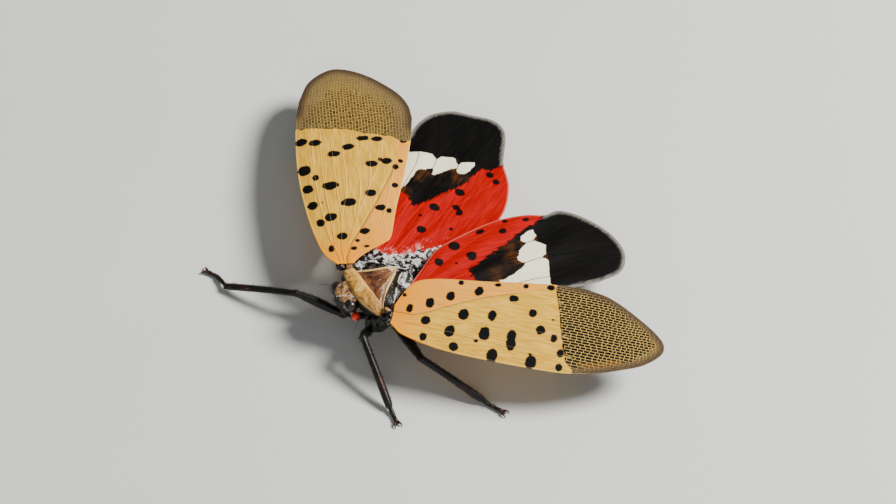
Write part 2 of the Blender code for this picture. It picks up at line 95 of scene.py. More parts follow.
def rgb(red, green, blue):
    """A colour given in screen values from 0 to 255."""
    parts = [value / 255 for value in (red, green, blue)]
    return (*[v / 12.92 if v <= 0.04045 else ((v + 0.055) / 1.055) ** 2.4 for v in parts], 1.0)


def soft_lamp(name, direction, distance, size, power, colour):
    lamp_data = bpy.data.lights.new(name, "AREA")
    lamp_data.shape = "DISK"
    lamp_data.size = size
    lamp_data.energy = power
    lamp_data.color = colour
    out = Vector(direction).normalized()
    lamp = link_object(name, lamp_data)
    lamp.location = out * distance
    lamp.rotation_euler = out.to_track_quat("Z", "Y").to_euler()


soft_lamp("sky_window", (0.42, 0.85, 0.95), distance=0.45, size=0.16, power=4.3, colour=(1.0, 0.97, 0.92))
soft_lamp("front_fill", (1.0, -0.7, 0.7), distance=0.5, size=0.4, power=0.45, colour=(0.92, 0.96, 1.0))

world = bpy.data.worlds.new("pale_room")
world.use_nodes = True
world.node_tree.nodes["Background"].inputs["Color"].default_value = rgb(226, 230, 232)
world.node_tree.nodes["Background"].inputs["Strength"].default_value = 0.2
bpy.context.scene.world = world


def fill(tree, node, sockets):
    """Fills a node's sockets, each with a plain value, another node's output or a recipe for one."""
    for socket, value in sockets:
        value = value(tree) if callable(value) else value
        if isinstance(value, bpy.types.NodeSocket):
            tree.links.new(value, node.inputs[socket])
        else:
            node.inputs[socket].default_value = value


def add_node(tree, kind, sockets=(), **options):
    """A new node in a tree, with its options set and its sockets filled."""
    node = tree.nodes.new(kind)
    for key, value in options.items():
        setattr(node, key, value)
    fill(tree, node, sockets)
    return node


def recipe(kind, output, sockets=(), **options):
    """A recipe for one output of a node, which is made once in each tree that uses it."""
    made = {}

    def follow(tree):
        if tree not in made:
            made[tree] = add_node(tree, kind, sockets, **options).outputs[output]
        return made[tree]
    return follow


def grain(scale, detail=4.0, stretch=(1.0, 1.0, 1.0), sheet=None):
    """Noise on the object's own metres, with scale in lumps to the millimetre, or on a sheet's map."""
    if sheet:
        source = recipe("ShaderNodeUVMap", "UV", uv_map=sheet)
    else:
        source, scale = recipe("ShaderNodeTexCoord", "Object"), scale / MM
    stretched = recipe("ShaderNodeMapping", "Vector", [("Vector", source), ("Scale", stretch)])
    return recipe("ShaderNodeTexNoise", "Fac", [("Vector", stretched), ("Scale", scale), ("Detail", detail)])


def step_between(value, low, high, top=1.0):
    """Soft step from 0 at low to top at high."""
    return recipe("ShaderNodeMapRange", "Result", [("Value", value), ("From Min", low), ("From Max", high),
                                                   ("To Max", top)], interpolation_type="SMOOTHSTEP")


def maths(operation, *values):
    return recipe("ShaderNodeMath", 0, list(enumerate(values)), operation=operation)


def times(first, second):
    return maths("MULTIPLY", first, second)


def mark(name):
    """The number that each point of the mesh carries under a name."""
    return recipe("ShaderNodeAttribute", "Fac", attribute_name=name)


def coats(tone, *over):
    """A tone with others laid over it in turn, each as far as its own mask says."""
    for mask, colour in over:
        tone = recipe("ShaderNodeMix", 2, [(0, mask), (6, tone), (7, colour)], data_type="RGBA")
    return tone


def new_finish(name, roughness, tone, bump=None, height=0.02, **constants):
    """A material of a tone, with a bump of the given height in millimetres and any other sockets set."""
    sockets = [("Roughness", roughness), ("Base Color", tone)]
    sockets += [(socket.replace("_", " "), value) for socket, value in constants.items()]
    if bump:
        raised = [("Height", bump), ("Distance", height * MM)]
        sockets.append(("Normal", recipe("ShaderNodeBump", "Normal", raised)))
    material = bpy.data.materials.new(name)
    material.use_nodes = True
    fill(material.node_tree, material.node_tree.nodes["Principled BSDF"], sockets)
    return material


FLOOR_HALF = 0.6
floor_tone = coats(rgb(219, 222, 219), (grain(0.05), rgb(228, 230, 227)))
floor_mesh = bpy.data.meshes.new("floor")
floor_mesh.from_pydata([(-FLOOR_HALF, -FLOOR_HALF, 0), (FLOOR_HALF, -FLOOR_HALF, 0),
                        (FLOOR_HALF, FLOOR_HALF, 0), (-FLOOR_HALF, FLOOR_HALF, 0)], [], [(0, 1, 2, 3)])
floor_mesh.materials.append(new_finish("pale_floor", 0.75, floor_tone, grain(2.0), 0.01))
floor = link_object("floor", floor_mesh)

# The collar is the first thoracic plate, a tan saddle of hard cuticle behind the head. Its hind edge is
# a pale raised rim over the shield, with a keel on the midline, a deep pit on each side and fine creases.
# It grows in one piece and its lower sides wrap down to the fore legs.
COLLAR_ROWS = ((0.0, -1.45, 0.24, 2.6, 5.66), (0.9, -1.36, 0.26, 2.6, 5.64), (1.7, -1.14, 0.28, 2.9, 5.5),
               (2.3, -0.9, 0.28, 3.3, 5.28), (2.8, -0.6, 0.24, 3.9, 5.0))
COLLAR_LEAN = 0.75
COLLAR_STATIONS = 110
COLLAR_SIDES = 96
COLLAR_PITS = ((-1.55, -0.76, 0.13), (1.3, -0.58, 0.15), (-0.75, -0.5, 0.09), (0.4, -0.45, 0.08))
COLLAR_CREASES = ((-1.15, -1.15, -0.45, -0.5), (-0.85, -1.25, -0.3, -0.75), (-0.55, -1.3, -0.2, -1.0),
                  (0.2, -1.2, 0.75, -0.5), (0.6, -1.2, 1.3, -0.85))
COLLAR_POWER = 3.4
COLLAR_RIM_HEIGHT = 0.12
COLLAR_KEEL_HEIGHT = 0.06
COLLAR_PIT_DEPTH = 0.13
COLLAR_CREASE_DEPTH = 0.07
COLLAR_CREASE_WIDTH = 0.045


def row_at(rows, key, soft):
    """Values of a table at a key between its rows, with the table's corners rounded off."""
    keys = [row[0] for row in rows]
    spots = [key + soft * k / 4 for k in range(-4, 5)]
    return [float(np.mean(np.interp(spots, keys, column))) for column in list(zip(*rows))[1:]]


def unit_outline(count, power):
    """Closed outline between a circle (power 2) and a square, as pairs from -1 to 1."""
    turns = [math.tau * (k + 0.5) / count for k in range(count)]
    return [(math.copysign(abs(math.cos(t)) ** (2 / power), math.cos(t)),
             math.copysign(abs(math.sin(t)) ** (2 / power), math.sin(t))) for t in turns]


def bell(value, width):
    """1 where value is 0, falling smoothly to nothing at about twice the width."""
    return math.exp(-(value / width) ** 2)


def ease(value):
    """Soft step from 0 at 0 to 1 at 1."""
    value = min(max(value, 0.0), 1.0)
    return value * value * (3 - 2 * value)


def loft(rings):
    """Points and faces of a closed skin over equal rings, its ends closed on their middles."""
    count = len(rings[0])
    points = [Vector(point) for ring in rings for point in ring]
    faces = []
    for row in range(len(rings) - 1):
        for k in range(count):
            a = row * count + k
            b = row * count + (k + 1) % count
            faces.append((a, b, b + count, a + count))
    for ring, first in ((rings[0], 0), (rings[-1], (len(rings) - 1) * count)):
        points.append(sum((Vector(point) for point in ring), Vector()) / count)
        faces += [(first + k, first + (k + 1) % count, len(points) - 1) for k in range(count)]
    return points, faces


def stations(count, start, least):
    """Places from -1 to 1, closest together at the ends, and how far open a loft still is at each."""
    for index in range(count + 1):
        w = -math.cos(math.pi * index / count)
        past = max((abs(w) - start) / (1 - start), 0.0)
        yield w, math.sqrt(max(1.0 - past ** 2, 0.0)) * (1 - least) + least


def declare(piece, nodes):
    """Says what a finished piece rides on and which solids it replaces."""
    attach(piece, "root")
    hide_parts(*nodes)
    return piece


def set_marks(mesh, marks):
    """Gives each point of a mesh its own numbers, which the materials read by name."""
    for key, values in marks.items():
        mesh.attributes.new(key, "FLOAT", "POINT").data.foreach_set("value", [float(v) for v in values])


def make_piece(name, skin, finish, nodes, marks=None):
    """A closed, smooth mesh from millimetre points and faces, facing outwards, that rides on the body."""
    points, faces = skin
    mesh = bpy.data.meshes.new(name)
    mesh.from_pydata([place(point) for point in points], [], faces)
    shell = bmesh.new()
    shell.from_mesh(mesh)
    bmesh.ops.recalc_face_normals(shell, faces=shell.faces)
    shell.to_mesh(mesh)
    shell.free()
    mesh.shade_smooth()
    mesh.materials.append(finish)
    set_marks(mesh, marks or {})
    return declare(link_object(name, mesh), nodes)


def crease_depth(x, y):
    """How deep a place lies in one of the collar's slanting creases, from 0 to 1."""
    depth = 0.0
    for x1, y1, x2, y2 in COLLAR_CREASES:
        length = math.hypot(x2 - x1, y2 - y1)
        along = ((x - x1) * (x2 - x1) + (y - y1) * (y2 - y1)) / length
        beside = ((x - x1) * (y2 - y1) - (y - y1) * (x2 - x1)) / length
        ends = ease(along / 0.2) * ease((length - along) / 0.2)
        depth = max(depth, bell(beside, COLLAR_CREASE_WIDTH) * ends)
    return depth


def collar_relief(x, y, a, b):
    """Height of the rim, keel, pits and creases at a place on the collar."""
    height = COLLAR_RIM_HEIGHT * bell(a - 0.9, 0.09) - 0.05 * bell(a - 0.68, 0.1) + 0.05 * bell(a + 0.8, 0.14)
    height += COLLAR_KEEL_HEIGHT * bell(x, 0.09) * ease((0.9 - abs(a)) / 0.2)
    height -= COLLAR_CREASE_DEPTH * crease_depth(x, y)
    for pit_x, pit_y, width in COLLAR_PITS:
        height -= COLLAR_PIT_DEPTH * bell(math.hypot(x - pit_x, y - pit_y), width)
    height += 0.06 * noise.fractal((x * 2.2, y * 4.0, b), 0.9, 2.0, 4)
    return height * ease((b - 0.1) / 0.6)


collar_rings = []
collar_marks = {"rim": [], "underside_shade": [], "hollow_shade": [], "side": []}
for w, close in stations(COLLAR_STATIONS, start=0.86, least=0.02):
    x = w * COLLAR_ROWS[-1][0]
    front, back, low, high = row_at(COLLAR_ROWS, abs(x), soft=0.25)
    middle, centre = (front + back) / 2, (low + high) / 2
    reach, depth = (back - front) / 2 * close, (high - low) / 2 * close
    lean = COLLAR_LEAN * (back - front) / (COLLAR_ROWS[0][2] - COLLAR_ROWS[0][1])
    ring = []
    for a, b in unit_outline(COLLAR_SIDES, COLLAR_POWER):
        y = middle + reach * a + lean * (1 - a) / 2 * (1 - b) / 2
        ring.append((x, y, centre + depth * b + collar_relief(x, y, a, b) * close))
        collar_marks["rim"].append(min(abs(a - 0.9), abs(a + 0.86) + 0.06) + (0.0 if b > 0.3 else 1.0))
        collar_marks["underside_shade"].append(ease((0.78 - b) / 0.4))
        collar_marks["side"].append(ease((x - 0.7) / 1.3))
        pit_shade = max(bell(math.hypot(x - pit_x, y - pit_y), width) for pit_x, pit_y, width in COLLAR_PITS)
        collar_marks["hollow_shade"].append(max(pit_shade, 0.8 * crease_depth(x, y)) if b > 0 else 0.0)
    collar_rings.append(ring)
for values in collar_marks.values():
    values += [1.0, 1.0]

tan = coats(rgb(178, 124, 44), (step_between(grain(1.1), 0.35, 0.68), rgb(222, 172, 86)),
            # Painted shade: the collar's left side is darkened from 0.7 mm off the midline outwards.
            (times(mark("side"), 0.75), rgb(144, 98, 42)),
            (step_between(grain(3.2, 6.0, (1.0, 1.8, 1.0)), 0.55, 0.72, 0.6), rgb(120, 74, 30)),
            # Painted shade darkens the pits and creases of the collar.
            (times(mark("hollow_shade"), 0.8), rgb(84, 50, 26)),
            (step_between(mark("rim"), 0.16, 0.04, 0.85), rgb(244, 208, 136)),
            # Painted shade: the lower sides of the collar are painted near black.
            (mark("underside_shade"), rgb(12, 10, 9)))
collar_finish = new_finish("tan_collar", 0.5, tan, grain(6.0, 8.0), 0.06, Specular_IOR_Level=0.35)
make_piece("collar", loft(collar_rings), collar_finish, ["prothorax"], collar_marks)

# The middle thorax carries the fore wings: a black box of cuticle at the sides, and over it the shield,
# a three-cornered plate of glossy purplish brown with raised tan margins and three low keels. A rounded
# cap covers each wing root.
TRUNK_SIDES = 72
MIDDLE_ROWS = ((0.1, 2.1, 2.6, 4.85), (0.9, 2.65, 2.05, 5.05), (1.7, 2.65, 2.0, 5.0), (2.4, 2.35, 1.95, 4.8),
               (3.1, 2.0, 2.1, 4.45))
MIDDLE_POWER = 3.0
SHIELD_FRONT = 0.05
SHIELD_LENGTH = 3.02
SHIELD_MIDDLE = (0.3, -0.3)
SHIELD_SIDES = (2.3, 0.08)
SHIELD_HEIGHTS = ((0.0, 5.3), (0.3, 5.52), (0.75, 5.52), (1.0, 5.4))
SHIELD_MARGINS = {"left": 0.3, "right": 0.13, "apex": 0.5}
SHIELD_MARGIN_HEIGHT = 0.11
SHIELD_MID_KEEL = 0.04
SHIELD_SIDE_KEELS = 0.05
SHIELD_SKIRT = 4.6
SHIELD_GRID = (80, 80)


def trunk_skin(rows, count, relief, power=2.3):
    """Loft along Y over rows of (y, half width, low, high), each point moved out by the relief."""
    rings = []
    start, end = rows[0][0], rows[-1][0]
    for w, close in stations(count, start=0.88, least=0.03):
        y = start + (end - start) * (1 + w) / 2
        half, low, high = row_at(rows, y, soft=0.25)
        ring = []
        for a, b in unit_outline(TRUNK_SIDES, power):
            out = 1.0 + relief(a, y, b) / half
            ring.append((half * close * a * out, y, (low + high) / 2 + (high - low) / 2 * close * b * out))
        rings.append(ring)
    return loft(rings)


def flank_relief(a, y, b):
    """Uneven swellings of the body's sides."""
    return 0.12 * noise.fractal((a * 1.7, y * 1.3, b * 1.7), 0.8, 2.0, 4)


def dark_cuticle(name, wax_low, wax_high, roughness=0.32):
    """Black shell with a bloom of pale wax where the noise passes from wax_low to wax_high."""
    bloom = step_between(grain(1.9, 6.0), wax_low, wax_high)
    wax = coats(rgb(118, 119, 126), (grain(5.0), rgb(240, 242, 236)))
    shell = coats(rgb(6, 5, 6), (grain(2.5), rgb(30, 24, 22)), (bloom, wax))
    rough = maths("ADD", step_between(bloom, 0.0, 1.0, 0.55), roughness)
    return new_finish(name, rough, shell, grain(7.0, 8.0), 0.05, Specular_IOR_Level=0.5)


middle_box = trunk_skin(MIDDLE_ROWS, 48, flank_relief, power=MIDDLE_POWER)
make_piece("middle_thorax", middle_box, dark_cuticle("dark_flank", 0.62, 0.72), ["mesothorax"])


def shield_point(p, q):
    """Point of the shield's top, from its right edge to its left (p) and from front to apex (q)."""
    taper = (1 - q) * (1 - 0.16 * math.sin(math.pi * q))
    half = SHIELD_SIDES[1] + (SHIELD_SIDES[0] - SHIELD_SIDES[1]) * taper
    x = SHIELD_MIDDLE[0] + (SHIELD_MIDDLE[1] - SHIELD_MIDDLE[0]) * q + half * p
    y = SHIELD_FRONT + SHIELD_LENGTH * q
    z = row_at(SHIELD_HEIGHTS, q, soft=0.15)[0] - 0.22 * (half * p / SHIELD_SIDES[0]) ** 2
    inside = (1 - abs(p)) * half
    z += SHIELD_MARGIN_HEIGHT * bell(inside, 0.15) - 0.05 * bell(inside - 0.34, 0.12)
    z += SHIELD_MID_KEEL * bell(p * half, 0.07) * (1 - q)
    z += SHIELD_SIDE_KEELS * bell(abs(p * half) - 0.85 * (1 - q) ** 0.6, 0.07) * ease((0.85 - q) / 0.2)
    z += 0.04 * noise.fractal((x * 2.0, y * 1.4, 0.3), 0.9, 2.0, 4)
    margin = SHIELD_MARGINS["left"] if p > 0 else SHIELD_MARGINS["right"]
    margin = max(margin, SHIELD_MARGINS["apex"] * ease((q - 0.72) / 0.2))
    return Vector((x, y, z)), inside - margin


def grid_faces(wide, long):
    """Faces of a grid of wide by long cells, and its border points in turn."""
    faces = []
    for row in range(long):
        for k in range(wide):
            a = row * (wide + 1) + k
            faces.append((a, a + 1, a + wide + 2, a + wide + 1))
    border = list(range(wide + 1)) + [row * (wide + 1) + wide for row in range(1, long + 1)]
    border += [long * (wide + 1) + k for k in range(wide - 1, -1, -1)]
    border += [row * (wide + 1) for row in range(long - 1, 0, -1)]
    return faces, border


shield_points = []
shield_border = []
wide, long = SHIELD_GRID
for row in range(long + 1):
    for k in range(wide + 1):
        point, border = shield_point(2 * k / wide - 1, 0.995 * row / long)
        shield_points.append(point)
        shield_border.append(border)
shield_faces, edge = grid_faces(wide, long)
skirt, sides = len(shield_points), len(edge)
shield_points += [Vector((shield_points[k].x * 0.93, shield_points[k].y - 0.06, SHIELD_SKIRT)) for k in edge]
shield_points.append(Vector((0.0, 1.0, SHIELD_SKIRT)))
shield_border += [0.0] * (sides + 1)
for k in range(sides):
    n = (k + 1) % sides
    shield_faces.append((edge[k], edge[n], skirt + n, skirt + k))
shield_faces += [(skirt + k, skirt + (k + 1) % sides, skirt + sides) for k in range(sides)]

brown = coats(rgb(58, 32, 24), (step_between(grain(1.1), 0.36, 0.64), rgb(134, 84, 48)),
              (step_between(grain(3.2, 6.0), 0.56, 0.7, 0.5), rgb(160, 112, 96)),
              (step_between(mark("border"), 0.05, -0.04), rgb(228, 190, 126)))
shield_finish = new_finish("brown_shield", 0.28, brown, grain(5.0, 8.0), 0.05, Specular_IOR_Level=0.5)
make_piece("shield", (shield_points, shield_faces), shield_finish, ["mesothorax"],
           {"border": shield_border})


def lump(centre, radii, sides, rings, relief=0.0, seed=0.0, turn=0.0):
    """Points and faces of an egg with a noisy surface, turned by some degrees about the upright."""
    swing = Matrix.Rotation(math.radians(turn), 3, "Z")
    stack = []
    for row in range(1, rings):
        tilt = math.pi * row / rings
        ring = []
        for k in range(sides):
            angle = math.tau * k / sides
            out = Vector((math.sin(tilt) * math.cos(angle), math.sin(tilt) * math.sin(angle), math.cos(tilt)))
            swell = 1 + relief * noise.fractal(out * 2.4 + Vector((seed, 0, 0)), 0.8, 2.0, 4)
            ring.append(Vector(centre) + swing @ Vector([r * swell * o for r, o in zip(radii, out)]))
        stack.append(ring)
    return loft(stack)


def tube(path, radii, sides, flat=1.0, ridge=0.0):
    """Closed tube through millimetre points, its ends domed, with four long ridges if asked."""
    path = [Vector(point) for point in path]
    stops = []
    first, last = (path[1] - path[0]).normalized(), (path[-1] - path[-2]).normalized()
    dome = [math.radians(degrees) for degrees in (28, 56, 84)]
    for lean in reversed(dome):
        stops.append((path[0] - first * radii[0] * math.sin(lean), radii[0] * math.cos(lean), first))
    for k, point in enumerate(path):
        before = (point - path[k - 1]).normalized() if k else first
        after = (path[k + 1] - point).normalized() if k < len(path) - 1 else last
        stops.append((point, radii[k], (before + after).normalized()))
    for lean in dome:
        stops.append((path[-1] + last * radii[-1] * math.sin(lean), radii[-1] * math.cos(lean), last))
    side = first.cross(Vector((0, 0, 1)))
    side = side.normalized() if side.length > 0.1 else first.orthogonal().normalized()
    rings = []
    for point, radius, along in stops:
        side = (side - along * side.dot(along)).normalized()
        other = along.cross(side)
        ring = []
        for k in range(sides):
            angle = math.tau * k / sides
            reach = radius * (1 + ridge * math.cos(4 * angle))
            ring.append(point + side * reach * math.cos(angle) + other * reach * flat * math.sin(angle))
        rings.append(ring)
    return loft(rings)


def curve_point(points, t):
    """Point at t from 0 to 1 of a smooth curve through the points, spaced by their distances."""
    spans = [math.dist(points[k], points[k + 1]) for k in range(len(points) - 1)]
    goal = t * sum(spans)
    index = 0
    while index < len(spans) - 1 and goal > spans[index]:
        goal -= spans[index]
        index += 1
    f = min(goal / spans[index], 1.0)
    p1 = Vector(points[index])
    p2 = Vector(points[index + 1])
    p0 = Vector(points[index - 1]) if index else p1 * 2 - p2
    p3 = Vector(points[index + 2]) if index + 2 < len(points) else p2 * 2 - p1
    bend = p1 * 2 + (p2 - p0) * f + (p0 * 2 - p1 * 5 + p2 * 4 - p3) * f * f
    return (bend + (p1 * 3 - p0 - p2 * 3 + p3) * f ** 3) / 2


black_hinge = dark_cuticle("black_hinge", 0.64, 0.7, 0.22)
wax_hinge = dark_cuticle("waxy_hinge", 0.45, 0.5, 0.4)
scale_tone = coats(rgb(70, 40, 20), (step_between(grain(3.0, 6.0), 0.4, 0.6), rgb(176, 120, 64)))
scale_finish = new_finish("brown_scale", 0.4, scale_tone, grain(8.0, 6.0), 0.04, Specular_IOR_Level=0.4)
HINGE_PLATES = (
    ("scale_left", scale_finish, (2.85, 0.22, 5.12), (0.36, 0.27, 0.24), 20.0),
    ("scale_right", scale_finish, (-2.72, 0.0, 5.02), (0.34, 0.27, 0.22), -10.0),
    ("cuff_left", black_hinge, (3.35, 0.3, 4.88), (0.42, 0.5, 0.4), 40.0),
    ("root_left", wax_hinge, (3.72, 0.12, 4.72), (0.34, 0.42, 0.36), 40.0),
    ("cuff_right", black_hinge, (-3.3, -0.42, 4.85), (0.46, 0.42, 0.36), 20.0),
    ("patch_right", wax_hinge, (-2.45, 0.85, 4.8), (0.42, 0.6, 0.3), 10.0),
    ("pit_right", black_hinge, (-2.85, 1.5, 4.6), (0.5, 0.55, 0.42), 0.0),
    ("pad_left", black_hinge, (2.75, 1.2, 4.55), (0.5, 0.7, 0.45), 30.0),
    ("flank_left", black_hinge, (2.72, 0.1, 3.8), (0.5, 0.8, 0.95), 10.0),
    ("flank_right", black_hinge, (-2.62, 0.1, 3.8), (0.5, 0.8, 0.95), -10.0),
    ("cheek_left", black_hinge, (2.15, -0.6, 3.2), (0.6, 0.55, 0.95), 0.0),
    ("cheek_right", black_hinge, (-2.2, -0.45, 3.2), (0.5, 0.5, 0.9), 0.0),
    ("hip_left", black_hinge, (1.9, 0.2, 2.25), (0.6, 0.85, 0.6), 0.0),
    ("hip_right", black_hinge, (-1.9, 0.3, 2.25), (0.55, 0.8, 0.6), 0.0),
)
for name, finish, centre, radii, turn in HINGE_PLATES:
    plate = lump(centre, radii, 36, 24, relief=0.2, seed=centre[0], turn=turn)
    make_piece(f"hinge_{name}", plate, finish, ["mesothorax"])

# The hind thorax carries the hind wings. Its back is glossy black between swollen lobes, and it is dusted
# with white wax that the insect gives off, thickest on the lobes and along the ridges that edge the
# shield.
HIND_ROWS = ((2.5, 1.9, 2.2, 4.4), (3.2, 2.15, 1.9, 4.35), (4.0, 2.1, 1.65, 4.0), (4.7, 1.85, 1.5, 3.5),
             (5.2, 1.7, 1.4, 3.0))
HIND_LOBES = (((0.62, 3.1, 4.2), (0.6, 1.22, 0.55), 30.0), ((-1.8, 2.75, 4.25), (0.75, 0.62, 0.5), -20.0),
              ((1.75, 3.0, 4.0), (0.6, 0.72, 0.45), 10.0), ((-0.65, 4.3, 3.75), (0.6, 0.6, 0.42), 0.0),
              ((-1.6, 3.95, 3.55), (0.62, 0.6, 0.4), 0.0), ((0.35, 4.75, 3.1), (0.85, 0.55, 0.45), 15.0),
              ((-0.5, 5.35, 2.75), (0.7, 0.5, 0.35), -10.0), ((-2.6, 2.75, 4.1), (0.62, 0.8, 0.42), 30.0),
              ((-3.35, 2.55, 3.95), (0.65, 0.75, 0.4), 25.0), ((-4.1, 2.6, 3.6), (0.6, 0.5, 0.3), 10.0),
              ((-1.3, 5.3, 3.25), (0.7, 0.75, 0.4), 20.0), ((-0.9, 6.2, 2.85), (0.75, 0.7, 0.35), 0.0))
WAX_RIDGES = (((-2.6, 0.7, 4.95), (-2.4, 1.35, 5.1), (-2.0, 2.0, 5.12), (-1.4, 2.5, 5.08),
               (-0.9, 2.95, 5.0), (-0.6, 3.6, 4.75), (-0.45, 4.2, 4.35)),
              ((-2.95, 1.2, 4.75), (-2.7, 2.0, 4.8), (-2.1, 2.55, 4.85), (-1.5, 3.1, 4.75), (-1.1, 3.8, 4.4)),
              ((2.5, 1.05, 4.8), (1.75, 1.75, 4.85), (1.0, 2.4, 4.85), (0.3, 3.0, 4.8), (-0.15, 3.6, 4.6)),
              ((0.1, 3.9, 4.4), (0.6, 3.3, 4.72), (1.0, 2.6, 4.62)))
RIDGE_STOPS = 60
RIDGE_RADIUS = 0.08
RIDGE_SWAY = 0.09
RIDGE_SEED = 3


def ribbed(a, y, b):
    """The swellings of the sides, with ridges across the back."""
    return flank_relief(a, y, b) + 0.06 * math.sin(y * 9) * max(b, 0)


white_wax = dark_cuticle("white_wax", 0.47, 0.56, 0.35)
black_back = dark_cuticle("black_back", 0.56, 0.63, 0.2)
make_piece("hind_thorax", trunk_skin(HIND_ROWS, 60, ribbed), black_back, ["metathorax"])
for number, (centre, radii, turn) in enumerate(HIND_LOBES):
    lobe = lump(centre, radii, 48, 30, relief=0.25, seed=number * 3.1, turn=turn)
    make_piece(f"wax_lobe_{number + 1}", lobe, white_wax, ["metathorax"])
wax_crest = dark_cuticle("wax_crest", 0.4, 0.5, 0.45)
# The vector noise takes its seed from the clock unless it is given one.
noise.seed_set(RIDGE_SEED)
for number, path in enumerate(WAX_RIDGES):
    spine = []
    girths = []
    for k in range(RIDGE_STOPS + 1):
        sway = noise.noise_vector((k * 0.16, number * 5.0, 0.0)) * RIDGE_SWAY
        spine.append(curve_point(path, k / RIDGE_STOPS) + sway)
        taper = 0.35 + 0.65 * math.sin(math.pi * k / RIDGE_STOPS) ** 0.5
        girths.append(RIDGE_RADIUS * taper * (1.0 + 0.7 * noise.noise((k * 0.3, number, 4.0))))
    make_piece(f"wax_ridge_{number + 1}", tube(spine, girths, 14), wax_crest, ["metathorax"])

# The abdomen is a chain of seven telescoped rings. Each is a dark plate with a grey bloom of wax on its
# back and belly, yellow at the sides and on the soft skin that shows at its hind edge.
RINGS = 7
ABDOMEN_END = 10.5
ABDOMEN_HALF = (2.25, 1.05)
ABDOMEN_MIDDLE = (1.72, 1.5)


def abdomen_taper(t):
    """Share of the abdomen's full width at t from 0 at its front to 1 at its tail."""
    return math.sqrt(max(0.0, 1.0 - (1.08 * t - 0.2) ** 2 / 0.85)) if t > 0.2 else 0.88 + 0.6 * t


abdomen_rings = []
abdomen_marks = {"ring": [], "flank": [], "front": []}
for ring_number in range(RINGS):
    for step in range(10):
        f = step / 9
        t = (ring_number + f) / RINGS
        swell = 0.1 * math.sin(math.pi * min(f * 1.25, 1.0)) ** 0.6 - 0.1
        half = max(ABDOMEN_HALF[0] * min(1.0, abdomen_taper(t)) + swell, 0.15)
        depth = max(ABDOMEN_HALF[1] * min(1.0, abdomen_taper(t) + 0.1) + swell * 0.7, 0.12)
        y = ABDOMEN_START - 0.15 + (ABDOMEN_END - ABDOMEN_START + 0.1) * t
        z = ABDOMEN_MIDDLE[0] + (ABDOMEN_MIDDLE[1] - ABDOMEN_MIDDLE[0]) * t
        ring = []
        for a, b in unit_outline(TRUNK_SIDES, 2.2):
            keel = 0.12 * bell(a, 0.2) * max(b, 0.0)
            ring.append((half * a, y, z + depth * b + keel))
            abdomen_marks["ring"].append(f)
            abdomen_marks["flank"].append(abs(a) * (1 - abs(b) ** 3))
            abdomen_marks["front"].append(ease((6.6 - y) / 0.8))
        abdomen_rings.append(ring)
for key, ends in (("ring", [0.0, 0.0]), ("flank", [0.0, 0.0]), ("front", [1.0, 0.0])):
    abdomen_marks[key] += ends
white_rings = times(mark("front"), step_between(grain(1.7, 5.0), 0.38, 0.46))
rings_tone = coats(rgb(30, 26, 25), (grain(2.0), rgb(70, 62, 56)),
                   (step_between(grain(1.3, 6.0), 0.36, 0.58, 0.85), rgb(176, 176, 166)),
                   (white_rings, rgb(236, 236, 228)),
                   (step_between(mark("flank"), 0.82, 0.94), rgb(216, 170, 62)),
                   (step_between(mark("ring"), 0.88, 0.97), rgb(214, 176, 84)))
abdomen_finish = new_finish("waxy_rings", 0.5, rings_tone, grain(6.0, 8.0), 0.04, Coat_Weight=0.15,
                            Coat_Roughness=0.35)
make_piece("abdomen_rings", loft(abdomen_rings), abdomen_finish, ["abdomen"], abdomen_marks)

# The head is a blunt capsule: a flat crown with raised edges, and a dark face below it with three keels.
# A thin line of wax runs over the brow. It is set a little to the insect's right, as it looks aside.
HEAD_X = -0.5
HEAD_ROWS = ((2.35, -1.6, -0.85, 0.36), (2.9, -2.0, -0.8, 0.6), (3.4, -2.3, -0.6, 0.84),
             (4.1, -2.52, -0.5, 1.0), (4.7, -2.5, -0.5, 1.1), (5.12, -2.35, -0.5, 1.1),
             (5.36, -2.1, -0.6, 0.95))
HEAD_SIDES = 96
BROW = (-0.2, -2.0, 1.2)
HEAD_STATIONS = 90


def face_relief(x, z, b):
    """Height of the keels, the brow's edge and the mouth groove at a place on the head."""
    front = ease((-b - 0.1) / 0.5)
    height = (0.07 * bell(x, 0.07) + 0.06 * bell(abs(x) - 0.42 + 0.05 * (z - 4), 0.07)) * front
    height += 0.09 * bell(z - 5.08, 0.09) * ease((-b + 0.3) / 0.6)
    height -= 0.06 * bell(z - 3.35, 0.12) * front
    return height + 0.05 * noise.fractal((x * 3, b * 3, z * 3), 0.85, 2.0, 4)


head_rings = []
head_marks = {"crown": [], "brow": []}
for w, close in stations(HEAD_STATIONS, start=0.9, least=0.02):
    z = HEAD_ROWS[0][0] + (HEAD_ROWS[-1][0] - HEAD_ROWS[0][0]) * (1 + w) / 2
    front, back, half = row_at(HEAD_ROWS, z, soft=0.12)
    ring = []
    for a, b in unit_outline(HEAD_SIDES, 2.4):
        swell = 1 + face_relief(half * a, z, b) / half
        x = half * a * close * swell
        y = (front + back) / 2 + (back - front) / 2 * b * close * swell
        ring.append((HEAD_X + x, y, z - 0.04 * bell(x, 0.4) * ease((z - 5.1) / 0.15)))
        across_brow = y - BROW[1] - (HEAD_X + x - BROW[0]) * BROW[2]
        head_marks["crown"].append(z)
        head_marks["brow"].append(bell(across_brow, 0.06) * ease((z - 4.9) / 0.1))
    head_rings.append(ring)
head_marks["crown"] += [0.0, 5.3]
head_marks["brow"] += [0.0, 0.0]
top = step_between(mark("crown"), 5.0, 5.12)
top_tone = coats(rgb(62, 40, 26), (step_between(grain(2.2, 6.0), 0.38, 0.62), rgb(184, 140, 90)))
wax = step_between(grain(3.0, 7.0, (1.0, 2.2, 1.0)), 0.64, 0.7, 0.7)
